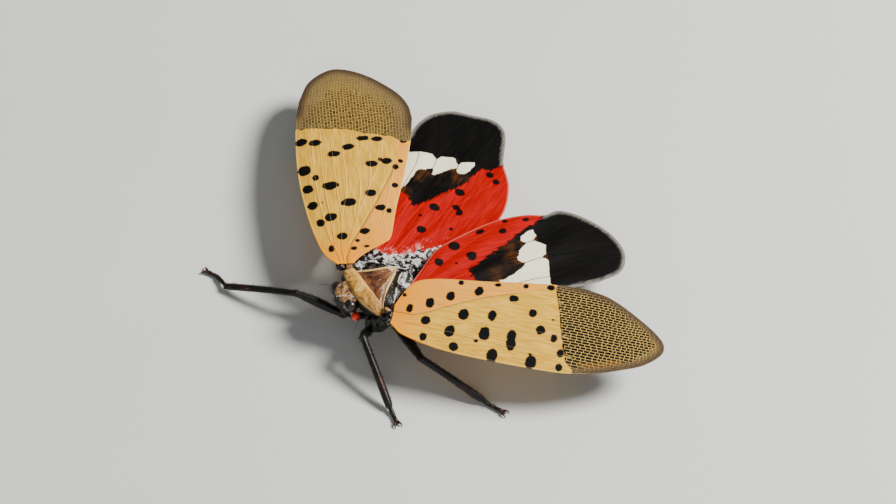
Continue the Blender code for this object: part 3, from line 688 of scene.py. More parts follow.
head_tone = coats(rgb(6, 5, 5), (step_between(grain(1.8), 0.35, 0.68), rgb(26, 19, 16)), (top, top_tone),
                  (times(wax, top), rgb(228, 208, 176)),
                  (step_between(mark("brow"), 0.4, 0.8), rgb(240, 232, 222)))
head_finish = new_finish("head_shell", 0.45, head_tone, grain(8.0, 8.0), 0.05, Specular_IOR_Level=0.35)
make_piece("head_capsule", loft(head_rings), head_finish, ["head"], head_marks)

# Each compound eye is a bulging dark brown dome of hundreds of small lenses, set in a thin dark rim of the
# head's shell. A small red simple eye sits in the cheek just under it.
EYE_OFFSET = (1.1, -1.88, 4.66)
EYE_RADII = (0.53, 0.54, 0.58)
LENSES_TO_MM = 22
SOCKET_INSET = 0.16
SOCKET_RADII = (0.42, 0.56, 0.62)
OCELLUS_OFFSET = (1.2, -1.42, 4.3)
OCELLUS_RADIUS = 0.09

lenses = recipe("ShaderNodeTexVoronoi", "Distance", [("Vector", recipe("ShaderNodeTexCoord", "Object")),
                                                     ("Scale", LENSES_TO_MM / MM), ("Randomness", 0.25)])
eye_tone = coats(rgb(6, 5, 6), (grain(2.0), rgb(34, 17, 14)),
                 (step_between(lenses, 0.3, 0.6, 0.4), rgb(58, 40, 34)))
eye_finish = new_finish("eye_lenses", 0.25, eye_tone, lenses, -0.006, Coat_Weight=0.3, Coat_Roughness=0.12)
ocellus_tone = coats(rgb(120, 8, 40), (grain(6.0), rgb(196, 30, 60)))
ocellus_finish = new_finish("red_ocellus", 0.08, ocellus_tone, Coat_Weight=1.0, Coat_Roughness=0.04)
socket_finish = dark_cuticle("eye_socket", 0.66, 0.74)


def on_head(side, offset):
    """A place beside the middle of the head, on the left (side 1) or on the right (side -1)."""
    return Vector((HEAD_X + side * offset[0], *offset[1:]))


for label, side in (("left", 1), ("right", -1)):
    eye_centre = on_head(side, EYE_OFFSET)
    make_piece(f"eye_dome_{label}", lump(eye_centre, EYE_RADII, 48, 32), eye_finish,
               [f"eye_{label}"])
    socket_centre = eye_centre - Vector((side * SOCKET_INSET, 0, 0))
    socket = lump(socket_centre, SOCKET_RADII, 48, 32, relief=0.06, seed=side)
    make_piece(f"eye_rim_{label}", socket, socket_finish, ["head"])
    ocellus = lump(on_head(side, OCELLUS_OFFSET), (OCELLUS_RADIUS,) * 3, 20, 14)
    make_piece(f"ocellus_{label}", ocellus, ocellus_finish, ["head"])

# Each feeler is a short pale stalk that carries an orange-red bead, pitted all over with scent organs,
# and from the bead a whip as fine as a hair. The stalk is jointed into the cheek under the eye.
STALK_ROOT = (0.7, -1.82, 3.86)
STALK_RADII = (0.2, 0.16, 0.2)
BEAD_CENTRE = (1.64, -1.71, 3.75)
BEAD_RADIUS = 0.36
BEAD_PITS = 150
PIT_WIDTH = 0.085
PIT_DEPTH = 0.022
WHIP_RADII = (0.07, 0.035, 0.018, 0.014, 0.012, 0.009)

# The pits of the bead are darkened with painted shade.
bead_tone = coats(rgb(255, 44, 14), (mark("pit_shade"), rgb(150, 12, 6)),
                  (step_between(grain(2.5), 0.45, 0.7, 0.5), rgb(255, 116, 40)))
bead_finish = new_finish("orange_bead", 0.4, bead_tone, grain(14.0), 0.01, Coat_Weight=0.15,
                         Coat_Roughness=0.2, Subsurface_Weight=0.15, Subsurface_Scale=0.0003)
stalk_tone = coats(rgb(206, 190, 150), (grain(4.0), rgb(150, 120, 84)))
stalk_finish = new_finish("pale_stalk", 0.5, stalk_tone, grain(9.0), 0.02)
whip_finish = dark_cuticle("dark_whip", 0.7, 0.8)
pit_rays = []
for k in range(BEAD_PITS):
    height = 1 - 2 * (k + 0.5) / BEAD_PITS
    turn = k * math.pi * (3 - math.sqrt(5))
    wide_at = math.sqrt(1 - height * height)
    pit_rays.append(Vector((wide_at * math.cos(turn), wide_at * math.sin(turn), height)))
for label, side in (("left", 1), ("right", -1)):
    centre, root = on_head(side, BEAD_CENTRE), on_head(side, STALK_ROOT)
    points, faces = lump(centre, (BEAD_RADIUS,) * 3, 72, 48)
    pits = []
    for k, point in enumerate(points):
        out = (point - centre).normalized()
        nearest = max(out.dot(ray) for ray in pit_rays)
        pits.append(bell(math.acos(min(nearest, 1.0)), PIT_WIDTH))
        points[k] = centre + out * (BEAD_RADIUS - PIT_DEPTH * pits[-1])
    make_piece(f"feeler_bead_{label}", (points, faces), bead_finish, [f"antenna_{label}"],
               {"pit_shade": pits})
    stalk = tube((root, root.lerp(centre, 0.45), centre), STALK_RADII, 24)
    make_piece(f"feeler_stalk_{label}", stalk, stalk_finish, [f"antenna_{label}"])
    out = (centre - root).normalized()
    way, sag = Vector((side * 0.2, -0.22, 0.08)), Vector((0, 0, -0.02))
    whip = [centre + out * 0.28] + [centre + out * 0.42 + way * k + sag * k * k for k in range(5)]
    make_piece(f"feeler_whip_{label}", tube(whip, WHIP_RADII, 10), whip_finish, [f"antenna_{label}"])

# The beak is a tapering sheath of dark cuticle that holds the needles the insect drinks with. It hangs
# from the lower face, under a plate of the same shell, and is folded back along the body between the legs.
BEAK_PATH = ((-0.38, -1.2, 2.2), (-0.33, -1.05, 1.7), (-0.15, -0.3, 1.42), (-0.05, 0.5, 1.36),
             (0.0, 1.2, 1.35), (0.0, 2.2, 1.37), (0.0, 3.2, 1.4))
BEAK_RADII = (0.4, 0.33, 0.29, 0.27, 0.25, 0.23, 0.16)
FACE_PLATE_CENTRE = (-0.45, -1.75, 2.75)
FACE_PLATE_RADII = (0.42, 0.4, 0.7)

beak_finish = dark_cuticle("beak_shell", 0.68, 0.78, 0.28)
make_piece("beak", tube(BEAK_PATH, BEAK_RADII, 28), beak_finish, ["rostrum"])
make_piece("face_plate", lump(FACE_PLATE_CENTRE, FACE_PLATE_RADII, 40, 28, relief=0.12, seed=5.0),
           beak_finish, ["head"])

# A wing is a sheet of cuticle less than a tenth of a millimetre thick, hinged on the thorax and stiffened
# by veins. The fore wings are leathery and tan with black spots, and netted over the last third. The hind
# wings are softer: red with black spots, then a black wedge, a white band and a black tip.
SHEET_HALF = 0.035
SHEET_GRID = (120, 200)
SHEET_MAP = "wing_plan"
MAP_SPAN = 32.0
PLEATS = 24
PLEAT_DEPTH = 0.05
BAND_OVERLAP = 0.08
BAND_COVER = 0.4
SEAM_NOTCH = 0.5
SEAM_REACH = 0.36
STUB = -0.9
WINGS = {
    "forewing_left": {
        "side": 1, "hinge": (3.23, 0.22, 5.3), "sweep": 43.0, "dip": 0.055, "rise": 0.0, "camber": 0.35,
        "lead": ((0.35, -0.95), (0.8, -1.35), (1.6, -1.9), (4.5, -2.6), (9.2, -2.85), (13.9, -2.8),
                 (16.9, -2.3), (19.1, -1.5)),
        "margin": ((19.1, -1.5), (21.0, -0.6), (22.3, 0.7), (22.5, 1.7), (21.9, 2.6), (20.1, 4.0),
                   (17.5, 5.5), (15.5, 6.0)),
        "trail": ((0.35, 0.75), (0.7, 1.9), (1.3, 3.2), (2.0, 3.8), (3.6, 4.3), (7.2, 4.9), (11.6, 5.7),
                  (14.0, 5.95), (15.5, 6.0)),
        "spots": ((1.62, 0.72, 0.29, 0.42), (3.13, 1.56, 0.36, 0.52), (4.63, 2.64, 0.34, 0.52),
                  (6.83, 3.67, 0.36, 0.56), (5.21, 4.25, 0.25, 0.26), (8.21, 4.75, 0.28, 0.21),
                  (10.51, 5.16, 0.21, 0.31), (12.51, 5.47, 0.34, 0.3), (9.74, 3.52, 0.38, 0.41),
                  (6.04, 0.98, 0.44, 0.58), (8.35, 1.34, 0.36, 0.54), (11.55, 2.36, 0.33, 0.44),
                  (3.12, -0.22, 0.4, 0.41), (5.23, -0.86, 0.43, 0.58), (8.04, -0.52, 0.46, 0.7),
                  (10.25, -0.24, 0.38, 0.62), (10.33, -1.05, 0.4, 0.64), (12.45, 0.84, 0.38, 0.48),
                  (13.65, 0.26, 0.29, 0.4), (14.43, -0.98, 0.32, 0.4), (3.21, -1.85, 0.33, 0.38),
                  (5.81, -2.26, 0.4, 0.42), (7.53, -1.37, 0.2, 0.16), (9.01, -2.4, 0.46, 0.62),
                  (12.03, -1.67, 0.16, 0.11), (12.21, -2.4, 0.46, 0.62), (14.51, -2.36, 0.29, 0.36),
                  (0.9, 1.99, 0.16, 0.2), (13.25, 2.07, 0.08, 0.1)),
        "node": ((12.91, 5.36), (13.43, 3.74), (14.05, 1.26), (14.44, -0.21), (14.92, -1.73),
                 (15.61, -2.33)),
        "suture": ((0.91, 0.16), (1.92, 0.12), (3.33, 0.75), (5.54, 2.1), (7.83, 3.33), (10.12, 4.27),
                   (12.31, 5.35)),
    },
    "forewing_right": {
        "side": -1, "hinge": (-2.87, -0.18, 5.3), "sweep": 63.0, "dip": 0.055, "rise": 0.0, "camber": 0.35,
        "lead": ((0.1, -0.65), (1.0, -1.5), (2.5, -2.1), (5.7, -2.8), (10.5, -3.3), (15.5, -3.2),
                 (18.8, -2.7)),
        "margin": ((18.8, -2.7), (20.9, -1.8), (22.1, -0.3), (22.2, 1.3), (21.1, 3.5), (19.2, 5.5),
                   (17.6, 6.45), (16.0, 6.7)),
        "trail": ((0.1, 0.6), (0.7, 1.1), (1.4, 2.1), (2.1, 3.3), (2.8, 3.9), (6.0, 4.6), (10.2, 5.7),
                  (13.6, 6.4), (16.0, 6.7)),
        "spots": ((13.9, -2.86, 0.46, 0.52), (13.63, -1.71, 0.38, 0.55), (12.85, 1.08, 0.34, 0.55),
                  (12.16, -0.22, 0.34, 0.56), (13.77, 2.38, 0.29, 0.55), (13.61, 3.58, 0.29, 0.52),
                  (10.76, 2.88, 0.34, 0.56), (11.02, 4.18, 0.36, 0.48), (11.2, 3.68, 0.23, 0.25),
                  (10.39, 4.89, 0.32, 0.25), (11.04, 5.39, 0.22, 0.2), (13.24, 5.79, 0.22, 0.3),
                  (10.58, -2.78, 0.55, 0.56), (9.61, -1.9, 0.32, 0.29), (8.57, -0.72, 0.44, 0.74),
                  (8.48, -2.62, 0.48, 0.46), (7.47, 2.58, 0.38, 0.5), (8.32, 4.69, 0.28, 0.28),
                  (6.56, 0.68, 0.42, 0.68), (6.59, -2.36, 0.46, 0.44), (6.83, -1.51, 0.11, 0.08),
                  (5.84, 3.29, 0.33, 0.42), (5.51, 3.99, 0.28, 0.24), (5.13, -0.91, 0.43, 0.52),
                  (4.6, -1.81, 0.42, 0.36), (3.35, 1.79, 0.32, 0.42), (2.97, -0.11, 0.38, 0.42),
                  (2.39, 1.09, 0.17, 0.17), (1.63, 0.79, 0.22, 0.25), (1.75, 1.8, 0.11, 0.21),
                  (1.75, -1.1, 0.33, 0.25), (15.43, -2.71, 0.12, 0.26)),
        "node": ((13.32, 5.49), (13.87, 4.69), (14.48, 2.18), (14.88, 1.38), (15.47, -2.9)),
        "suture": ((0.67, 0.1), (2.2, 0.59), (4.32, 1.88), (6.92, 3.18), (9.46, 4.39), (11.2, 5.09)),
    },
    "hindwing_left": {
        "side": 1, "hinge": (2.33, 2.98, 4.2), "sweep": 10.0, "dip": 0.06, "rise": 0.08, "camber": 0.15,
        "lead": ((STUB, -0.5), (3.0, -1.4), (7.0, -2.4), (11.0, -3.0), (15.5, -3.3)),
        "margin": ((15.5, -3.3), (17.4, -3.0), (18.4, -1.8), (18.5, -0.2), (17.7, 1.8), (16.2, 3.6),
                   (14.9, 4.4), (13.7, 4.3), (12.1, 4.8), (9.6, 5.1), (7.0, 4.75), (4.1, 4.0),
                   (2.9, 3.3), (0.5, 1.3)),
        "trail": ((STUB, 0.5), (0.5, 1.3)),
        "spots": ((11.99, 4.38, 0.29, 0.21), (10.29, 4.78, 0.25, 0.16), (9.68, 3.84, 0.34, 0.3),
                  (7.89, 4.47, 0.38, 0.22), (5.28, 3.75, 0.5, 0.44), (6.26, 2.29, 0.42, 0.44),
                  (3.47, 2.62, 0.38, 0.39), (4.76, 1.99, 0.14, 0.12), (5.47, 0.42, 0.16, 0.12)),
        "wedge": ((11.98, 3.55), (10.77, 3.13), (9.36, 2.51), (7.76, 1.9), (5.56, 1.1), (5.77, -0.07),
                  (6.38, -0.96)),
        "front": ((7.0, -6.0), (7.39, -2.03)),
        "inner": ((7.57, -0.67), (8.77, -0.48), (9.77, -0.07), (9.77, 0.42), (9.86, 0.91), (10.57, 2.12),
                  (10.87, 2.82)),
        "outer": ((12.28, 3.25), (12.17, 2.33), (12.57, 1.34), (12.37, 0.73), (12.17, -0.26),
                  (11.88, -1.15), (11.49, -2.13)),
        "tip": ((11.3, -6.0), (22.0, -6.0), (22.0, 6.0), (14.0, 6.0), (13.7, 4.29), (12.89, 3.87),
                (11.98, 3.45)),
        "veins": (
            ((0.2, -0.3), (4.0, -1.2), (9.7, -1.4), (11.6, -1.6), (17.3, -2.5)),
            ((0.2, -0.1), (4.0, -0.4), (9.8, 0.2), (12.2, 0.3), (18.3, -0.4)),
            ((12.2, 0.3), (15.0, 0.7), (18.1, 0.9)),
            ((0.2, 0.1), (4.5, 0.8), (10.8, 2.1), (12.3, 2.2), (17.4, 2.2)),
            ((12.3, 2.2), (14.5, 2.8), (16.3, 3.4)),
            ((0.2, 0.2), (4.0, 1.6), (8.0, 2.8), (12.0, 3.6), (14.0, 4.2)),
            ((0.2, 0.3), (2.8, 2.1), (6.8, 3.7), (10.3, 4.8)),
            ((0.2, 0.4), (2.0, 2.2), (4.0, 3.7)),
        ),
        "dust": ((-1.5, -1.2), (0.3, -0.9), (0.7, 0.3), (0.3, 1.5), (-1.5, 1.5)),
    },
    "hindwing_right": {
        "side": -1, "hinge": (-2.5, 3.12, 3.55), "sweep": 31.0, "dip": 0.06, "rise": -0.04, "camber": 0.0,
        "lead": ((STUB, -0.5), (3.0, -1.9), (7.0, -3.3), (11.0, -4.3), (13.7, -4.6)),
        "margin": ((13.7, -4.6), (15.3, -4.6), (16.9, -4.0), (18.1, -2.7), (18.4, -1.5), (18.9, 0.8),
                   (18.1, 2.3), (15.9, 3.3), (14.8, 3.8), (13.0, 5.2), (11.0, 6.0), (9.2, 6.25),
                   (7.5, 6.1), (5.5, 5.3), (3.0, 3.6), (0.5, 1.4)),
        "trail": ((STUB, 0.5), (0.5, 1.4)),
        "spots": ((13.2, 3.3, 0.32, 0.36), (12.7, 4.2, 0.3, 0.32), (10.2, 2.0, 0.39, 0.45),
                  (7.6, 0.9, 0.38, 0.45), (8.5, 2.5, 0.3, 0.32), (8.1, 3.0, 0.36, 0.31),
                  (4.9, 1.1, 0.36, 0.42), (6.2, 3.2, 0.16, 0.2), (6.2, 0.3, 0.15, 0.17)),
        "wedge": ((12.8, 2.1), (11.4, 1.9), (10.0, 1.2), (8.2, 0.2), (6.9, -0.7), (7.7, -1.7)),
        "front": ((6.6, -6.0), (7.2, -3.2)),
        "inner": ((7.9, -2.5), (9.0, -2.3), (10.7, -2.2), (11.1, -1.5), (10.7, -0.9), (11.5, -0.3),
                  (12.2, 0.2), (11.9, 0.7), (12.1, 1.4), (12.6, 1.9), (13.5, 2.1)),
        "outer": ((13.8, 1.6), (13.2, 0.5), (13.5, -0.2), (13.0, -1.3), (12.7, -2.6), (12.1, -3.8)),
        "tip": ((11.9, -6.0), (22.0, -6.0), (22.0, 6.0), (15.5, 6.0), (14.8, 3.8), (13.7, 3.1),
                (13.5, 2.1)),
        "veins": (
            ((0.2, -0.4), (5.0, -2.0), (9.2, -2.5), (11.8, -2.8), (15.3, -4.4)),
            ((0.2, -0.2), (5.0, -1.1), (11.0, -1.2), (13.0, -1.6), (17.3, -3.4)),
            ((13.0, -1.6), (15.5, -1.9), (18.3, -2.0)),
            ((0.2, 0.0), (5.0, -0.4), (11.9, 0.6), (13.6, 0.2), (18.6, -0.4)),
            ((0.2, 0.1), (4.0, 0.4), (8.5, 1.1), (13.0, 1.9), (18.4, 1.7)),
            ((0.2, 0.2), (2.8, 0.7), (7.4, 1.9), (13.4, 4.4)),
            ((0.2, 0.3), (2.2, 1.0), (6.8, 3.1), (11.0, 5.7)),
            ((0.2, 0.4), (2.2, 1.7), (4.6, 3.6), (7.2, 5.7)),
        ),
        "dust": ((-1.5, -1.2), (0.9, -0.7), (1.5, 0.7), (2.4, 1.7), (3.9, 2.9), (4.6, 4.2), (3.0, 5.0),
                 (-1.5, 3.0)),
    },
}


def plan_point(wing, s, t):
    """Point (u, v) of the wing's plan: s from leading to trailing edge, t from hinge to outer margin."""
    lead, trail = curve_point(wing["lead"], t), curve_point(wing["trail"], t)
    margin = curve_point(wing["margin"], s)
    root = Vector(wing["lead"][0]).lerp(Vector(wing["trail"][0]), s)
    corners = root * (1 - t) + Vector(wing["margin"][0]).lerp(Vector(wing["margin"][-1]), s) * t
    return lead.lerp(trail, s) + root.lerp(margin, t) - corners


def line_height(line, value, across=1):
    """Where a table line stands, read across it: v for a value of u, or u for a value of v."""
    ordered = sorted(line, key=lambda point: point[1 - across])
    return np.interp(value, [point[1 - across] for point in ordered], [point[across] for point in ordered])


def ripple(wing, u, v):
    """Height of the sheet's own sway, its groove along the suture, or its fan of pleats."""
    height = 0.06 * noise.noise(Vector((u * 0.3, v * 0.6, wing["hinge"][0])))
    if "suture" in wing:
        return height - 0.06 * bell(v - float(line_height(wing["suture"], u)), 0.11) * ease((12.5 - u) / 3)
    turn = math.atan2(v, u + 1.2)
    return height + PLEAT_DEPTH * math.sin(turn * PLEATS) * ease(u / 5) * ease((19.0 - u) / 6)


def raise_plan(wing, plan, s, t):
    """The plan point on the wing's cambered sheet, in body millimetres."""
    u, v = plan
    x, y, z = wing["hinge"]
    sweep = math.radians(wing["sweep"])
    x += wing["side"] * (math.sin(sweep) * u - math.cos(sweep) * v)
    y += math.cos(sweep) * u + math.sin(sweep) * v
    z += wing["rise"] * v - wing["dip"] * u + wing["camber"] * 4 * s * (1 - s) * math.sin(math.pi * t)
    return Vector((x, y, z + ripple(wing, u, v)))


def distance_to_line(spots, line, closed=False):
    """Distance of each plan point in an array to a line of points."""
    line = np.array(line)
    starts, ends = (line, np.roll(line, -1, axis=0)) if closed else (line[:-1], line[1:])
    best = np.full(len(spots), 1e9)
    for start, end in zip(starts, ends):
        span = end - start
        along = np.clip(((spots - start) @ span) / max(span @ span, 1e-9), 0, 1)
        best = np.minimum(best, np.hypot(*(spots - start - along[:, None] * span).T))
    return best


def depth_in_shape(spots, shape):
    """Distance inside a closed shape, negative outside it."""
    inside = np.zeros(len(spots), bool)
    line = np.array(shape)
    for start, end in zip(line, np.roll(line, -1, axis=0)):
        crosses = (start[1] > spots[:, 1]) != (end[1] > spots[:, 1])
        tall = end[1] - start[1] if abs(end[1] - start[1]) > 1e-9 else 1e-9
        inside ^= crosses & (spots[:, 0] < start[0] + (spots[:, 1] - start[1]) * (end[0] - start[0]) / tall)
    return np.where(inside, 1, -1) * distance_to_line(spots, shape, closed=True)


def sampled(line, stops):
    """Points along the smooth curve through a table line."""
    return [curve_point(line, k / stops) for k in range(stops + 1)]


def wing_marks(wing, plans):
    """How far each plan point lies inside the spots, the bands, the net and the wing's edge."""
    spots = np.array([tuple(plan) for plan in plans])
    wobble = np.array([noise.fractal((u * 1.8, v * 1.8, 2.0), 0.8, 2.0, 4) for u, v in spots])
    dots = np.full(len(spots), -9.0)
    for u, v, half_u, half_v in wing["spots"]:
        out = np.hypot((spots[:, 0] - u) / half_u, (spots[:, 1] - v) / half_v)
        dots = np.maximum(dots, (1 - out) * min(half_u, half_v))
    lead = sampled(wing["lead"], 60)
    outline = lead + sampled(wing["margin"], 60) + sampled(wing["trail"], 60)[::-1]
    marks = {"spot": dots + 0.07 * wobble, "edge": distance_to_line(spots, outline, closed=True)}
    if "node" in wing:
        marks["along"] = spots[:, 0]
        marks["costal"] = distance_to_line(spots, lead)
        marks["net"] = spots[:, 0] - line_height(wing["node"], spots[:, 1], 0) + 0.1 * wobble
        marks["clavus"] = spots[:, 1] - line_height(wing["suture"], spots[:, 0])
    else:
        moved = spots + 0.12 * wobble[:, None]
        # The bands share their border lines. The black runs on under the others, so that no red shows
        # along their seams, and the white is notched at each vein but the first.
        inner, outer, tip = wing["inner"], wing["outer"], wing["tip"]
        shapes = (inner + wing["wedge"], wing["front"] + inner + tip[-1:] + outer + tip[:1], outer + tip)
        bands = [depth_in_shape(moved, shape) for shape in shapes]
        bands_by_depth = np.sort(bands, axis=0)
        marks["black"] = bands_by_depth[-1] + BAND_OVERLAP
        marks["black"] += np.clip(BAND_COVER + bands_by_depth[-2], 0, BAND_COVER)
        marks["dust"] = depth_in_shape(spots, wing["dust"]) + 0.5 * wobble
        apart = np.min([distance_to_line(moved, sampled(vein, 40)) for vein in wing["veins"][1:]], axis=0)
        marks["white"] = bands[1] - SEAM_NOTCH * np.clip(1 - apart / SEAM_REACH, 0, 1)
        marks["tip"] = bands[2]
    return marks


def map_plan(mesh, plans):
    """Gives a mesh its plan as a UV map, so that patterns follow the wing."""
    chart = mesh.uv_layers.new(name=SHEET_MAP)
    for corner in mesh.loops:
        u, v = plans[corner.vertex_index]
        chart.data[corner.index].uv = ((u + 2) / MAP_SPAN, (v + 8) / MAP_SPAN)


sheet_tops = {}


def wing_sheet(name, finish):
    """The wing's blade, with its upper face kept so that the veins can be laid on it."""
    wing = WINGS[name]
    wide, long = SHEET_GRID
    plans, places = [], []
    for row in range(long + 1):
        for k in range(wide + 1):
            s, t = k / wide, row / long
            plans.append(plan_point(wing, s, t))
            places.append(raise_plan(wing, plans[-1], s, t))
    count = len(places)
    points = [point + Vector((0, 0, SHEET_HALF)) for point in places]
    points += [point - Vector((0, 0, SHEET_HALF)) for point in places]
    faces, border = grid_faces(wide, long)
    sheet_tops[name] = BVHTree.FromPolygons([place(point) for point in points[:count]], faces)
    faces += [tuple(corner + count for corner in reversed(face)) for face in faces]
    faces += [(a, a + count, b + count, b) for a, b in zip(border, border[1:] + border[:1])]
    marks = wing_marks(wing, plans)
    marks["vein"] = np.zeros(count)
    piece = make_piece(f"{name}_sheet", (points, faces), finish, [name],
                       {key: np.concatenate((values, values)) for key, values in marks.items()})
    map_plan(piece.data, plans + plans)


def wing_grain(scale, detail, along=1.0, across=1.0):
    """Noise on the wing's own plan, drawn out along it or across it."""
    return grain(scale, detail, (along, across, 1.0), SHEET_MAP)


def fringed(value, reach):
    """A distance made uneven by streaks along the wing, so that its edge looks brushed."""
    centred = maths("SUBTRACT", wing_grain(110.0, 3.0, 0.5, 3.0), 0.5)
    return maths("ADD", value, times(centred, reach))


def fore_wing_finish(name, net_colour, cell_colour, smoke_colour, smoke_reach, rim_amount):
    """Golden tan with black spots, and past the nodal line a net over dark cells with a smoky edge."""
    vein, along, net, clavus = mark("vein"), mark("along"), mark("net"), mark("clavus")
    costal, edge, ragged = mark("costal"), mark("edge"), fringed(mark("spot"), 0.14)
    rib = coats(rgb(252, 208, 104), (step_between(along, 8.0, 3.0), rgb(246, 158, 20)))
    # Painted shade darkens the groove along the claval suture, out to about 12 mm from the hinge.
    groove_shade = times(step_between(maths("ABSOLUTE", clavus), 0.07, 0.02, 0.75), step_between(along, 12.0, 9.0))
    spot_tone = coats(rgb(8, 8, 10), (times(vein, 0.35), rgb(120, 100, 76)))
    tan = coats(rgb(208, 156, 42),
                (step_between(wing_grain(60.0, 5.0, 0.3, 2.4), 0.36, 0.64), rgb(236, 186, 64)),
                (step_between(wing_grain(9.0, 3.0), 0.5, 0.66, 0.4), rgb(204, 154, 30)),
                (step_between(clavus, -0.03, 0.1, 0.55), rgb(250, 154, 60)),
                (step_between(along, 4.0, 0.4, 0.9), rgb(246, 154, 2)),
                (times(vein, 0.6), rib), (groove_shade, rgb(120, 76, 36)),
                (step_between(ragged, -0.12, 0.0, 0.25), rgb(112, 82, 50)),
                (step_between(ragged, -0.03, 0.03), spot_tone))
    golden = times(step_between(fringed(costal, 0.8), 1.1, 0.6, 0.45), step_between(costal, 0.1, 0.35))
    golden = times(golden, step_between(net, 0.6, 1.4, 0.8))
    smoke = step_between(edge, smoke_reach, 0.1)
    lighter = rgb(*[int(part * 1.7) for part in cell_colour])
    dark = coats(rgb(*cell_colour), (step_between(wing_grain(100.0, 2.0), 0.4, 0.62), lighter),
                 (golden, rgb(160, 104, 34)), (times(smoke, 0.7), rgb(*smoke_colour)))
    pale = coats(rgb(*net_colour), (golden, rgb(226, 170, 70)),
                 (times(smoke, 0.8), rgb(*[min(part + 34, 255) for part in smoke_colour])))
    rim = times(step_between(fringed(edge, 0.3), 0.85, 0.05, rim_amount), step_between(net, 0.6, 2.0))
    cells = coats(dark, (vein, pale), (rim, rgb(70, 54, 42)))
    tone = coats(tan, (step_between(net, -0.03, 0.03), cells))
    return new_finish(name, 0.6, tone, wing_grain(260.0, 3.0), 0.02, Specular_IOR_Level=0.12)


def hind_wing_finish(name):
    """Red with waxy roots and black spots, then the black wedge, the white band and the black tip."""
    vein, dust, edge, band = mark("vein"), mark("dust"), mark("edge"), mark("white")
    streaks, patches = wing_grain(50.0, 5.0, 0.3, 2.6), wing_grain(16.0, 2.0)
    powder = step_between(times(patches, wing_grain(120.0, 6.0, 0.6, 1.6)), 0.25, 0.36)
    wax_tone = coats(rgb(176, 170, 162), (streaks, rgb(246, 242, 236)))
    wax_tone = coats(rgb(48, 44, 44), (step_between(wing_grain(84.0, 6.0), 0.43, 0.56), wax_tone))
    red = coats(rgb(158, 0, 1), (step_between(streaks, 0.36, 0.66), rgb(184, 1, 2)),
                (times(vein, 0.25), rgb(214, 40, 26)),
                (times(step_between(dust, -1.2, -0.1, 0.55), powder), rgb(252, 170, 158)),
                (step_between(dust, -0.05, 0.1), wax_tone),
                (step_between(edge, 0.12, 0.04, 0.3), rgb(240, 150, 130)),
                (step_between(fringed(mark("spot"), 0.12), -0.03, 0.04), rgb(12, 8, 8)))
    black = coats(rgb(3, 3, 3), (step_between(streaks, 0.4, 0.7), rgb(14, 11, 9)))
    brown = times(step_between(band, -1.9, -0.1, 0.7), step_between(patches, 0.4, 0.6))
    wedge = coats(black, (times(brown, step_between(streaks, 0.25, 0.6)), rgb(98, 54, 20)))
    white = coats(rgb(255, 255, 228), (streaks, rgb(246, 240, 204)), (times(vein, 0.85), rgb(128, 100, 56)))
    tip = coats(black, (step_between(fringed(edge, 0.6), 0.4, 0.0, 0.75), rgb(144, 139, 132)))
    tone = coats(red, (step_between(fringed(mark("black"), 0.9), -0.04, 0.06), wedge),
                 (step_between(fringed(band, 0.35), -0.03, 0.05), white),
                 (step_between(fringed(mark("tip"), 0.35), -0.05, 0.03), tip))
    return new_finish(name, 0.6, tone, wing_grain(240.0, 3.0), 0.02, Specular_IOR_Level=0.1)


WING_FINISHES = {
    "forewing_left": fore_wing_finish("netted_wing", (206, 172, 92), (9, 6, 4), (80, 66, 46), 0.9, 0.5),
    "forewing_right": fore_wing_finish("smoky_wing", (180, 150, 78), (68, 54, 26), (96, 78, 48), 2.9, 0.9),
}
WING_FINISHES["hindwing_left"] = WING_FINISHES["hindwing_right"] = hind_wing_finish("red_wing")
for name in WINGS:
    wing_sheet(name, WING_FINISHES[name])

# Veins are tubes of thicker cuticle grown in the sheet and proud of it. They run out from the hinge,
# fork once or twice and end in a rim round the wing. On the outer third of a fore wing they become dozens
# of close parallel lines, bridged by short cross veins set like bricks.
VEIN_HALF_WIDTH = 0.05
VEIN_FLATNESS = 0.7
FORE_GIRTHS = (1.3, 0.8)
HIND_GIRTHS = (1.2, 0.6)
NET_PITCH = 0.262
NET_ROWS = range(-20, 30)
NET_STEPS = 70
NET_STEP = 0.16
NET_GIRTHS = (0.62, 0.558)
FINE_GIRTHS = (0.496, 0.496)
CROSS_GIRTHS = (0.527, 0.527)
CELL_LENGTHS = {"forewing_left": (0.56, 0.3), "forewing_right": (0.4, 0.2)}
FINE_REACH = {"forewing_left": 0.9, "forewing_right": 2.6}
COSTA_GIRTH = 2.0
RIM_GIRTH = 1.1
FORE_VEINS = (
    ((0.3, -0.4), (1.6, -0.75), (3.0, -1.2), (6.5, -1.7), (11.0, -2.0), (15.7, -1.9)),
    ((1.6, -0.75), (5.0, -0.95), (8.0, -1.2), (11.5, -1.3), (15.4, -1.2)),
    ((0.3, -0.1), (2.4, -0.2), (5.0, -0.05), (8.0, -0.2), (11.5, -0.3), (15.1, -0.4)),
    ((5.0, -0.05), (8.0, 0.6), (11.5, 0.6), (14.8, 0.6)),
    ((0.3, 0.05), (2.4, 0.45), (5.0, 1.25), (8.0, 1.75), (11.5, 1.7), (14.4, 1.6)),
    ((5.0, 1.25), (8.0, 2.45), (11.0, 2.8), (14.1, 2.9)),
    ((8.0, 2.45), (10.5, 3.4), (12.5, 3.9), (13.8, 4.1)),
    ((0.3, 0.4), (1.6, 1.4), (3.6, 2.9), (6.0, 3.8), (9.0, 4.5), (11.5, 5.0)),
)


def new_tree(name, inputs, output):
    """A Geometry Nodes tree, its inputs given as (name, kind of socket), and those inputs' sockets."""
    tree = bpy.data.node_groups.new(name, "GeometryNodeTree")
    for label, kind in inputs:
        tree.interface.new_socket(label, in_out="INPUT", socket_type=f"NodeSocket{kind}")
    tree.interface.new_socket(output, in_out="OUTPUT", socket_type="NodeSocketGeometry")
    return tree, tree.nodes.new("NodeGroupInput").outputs


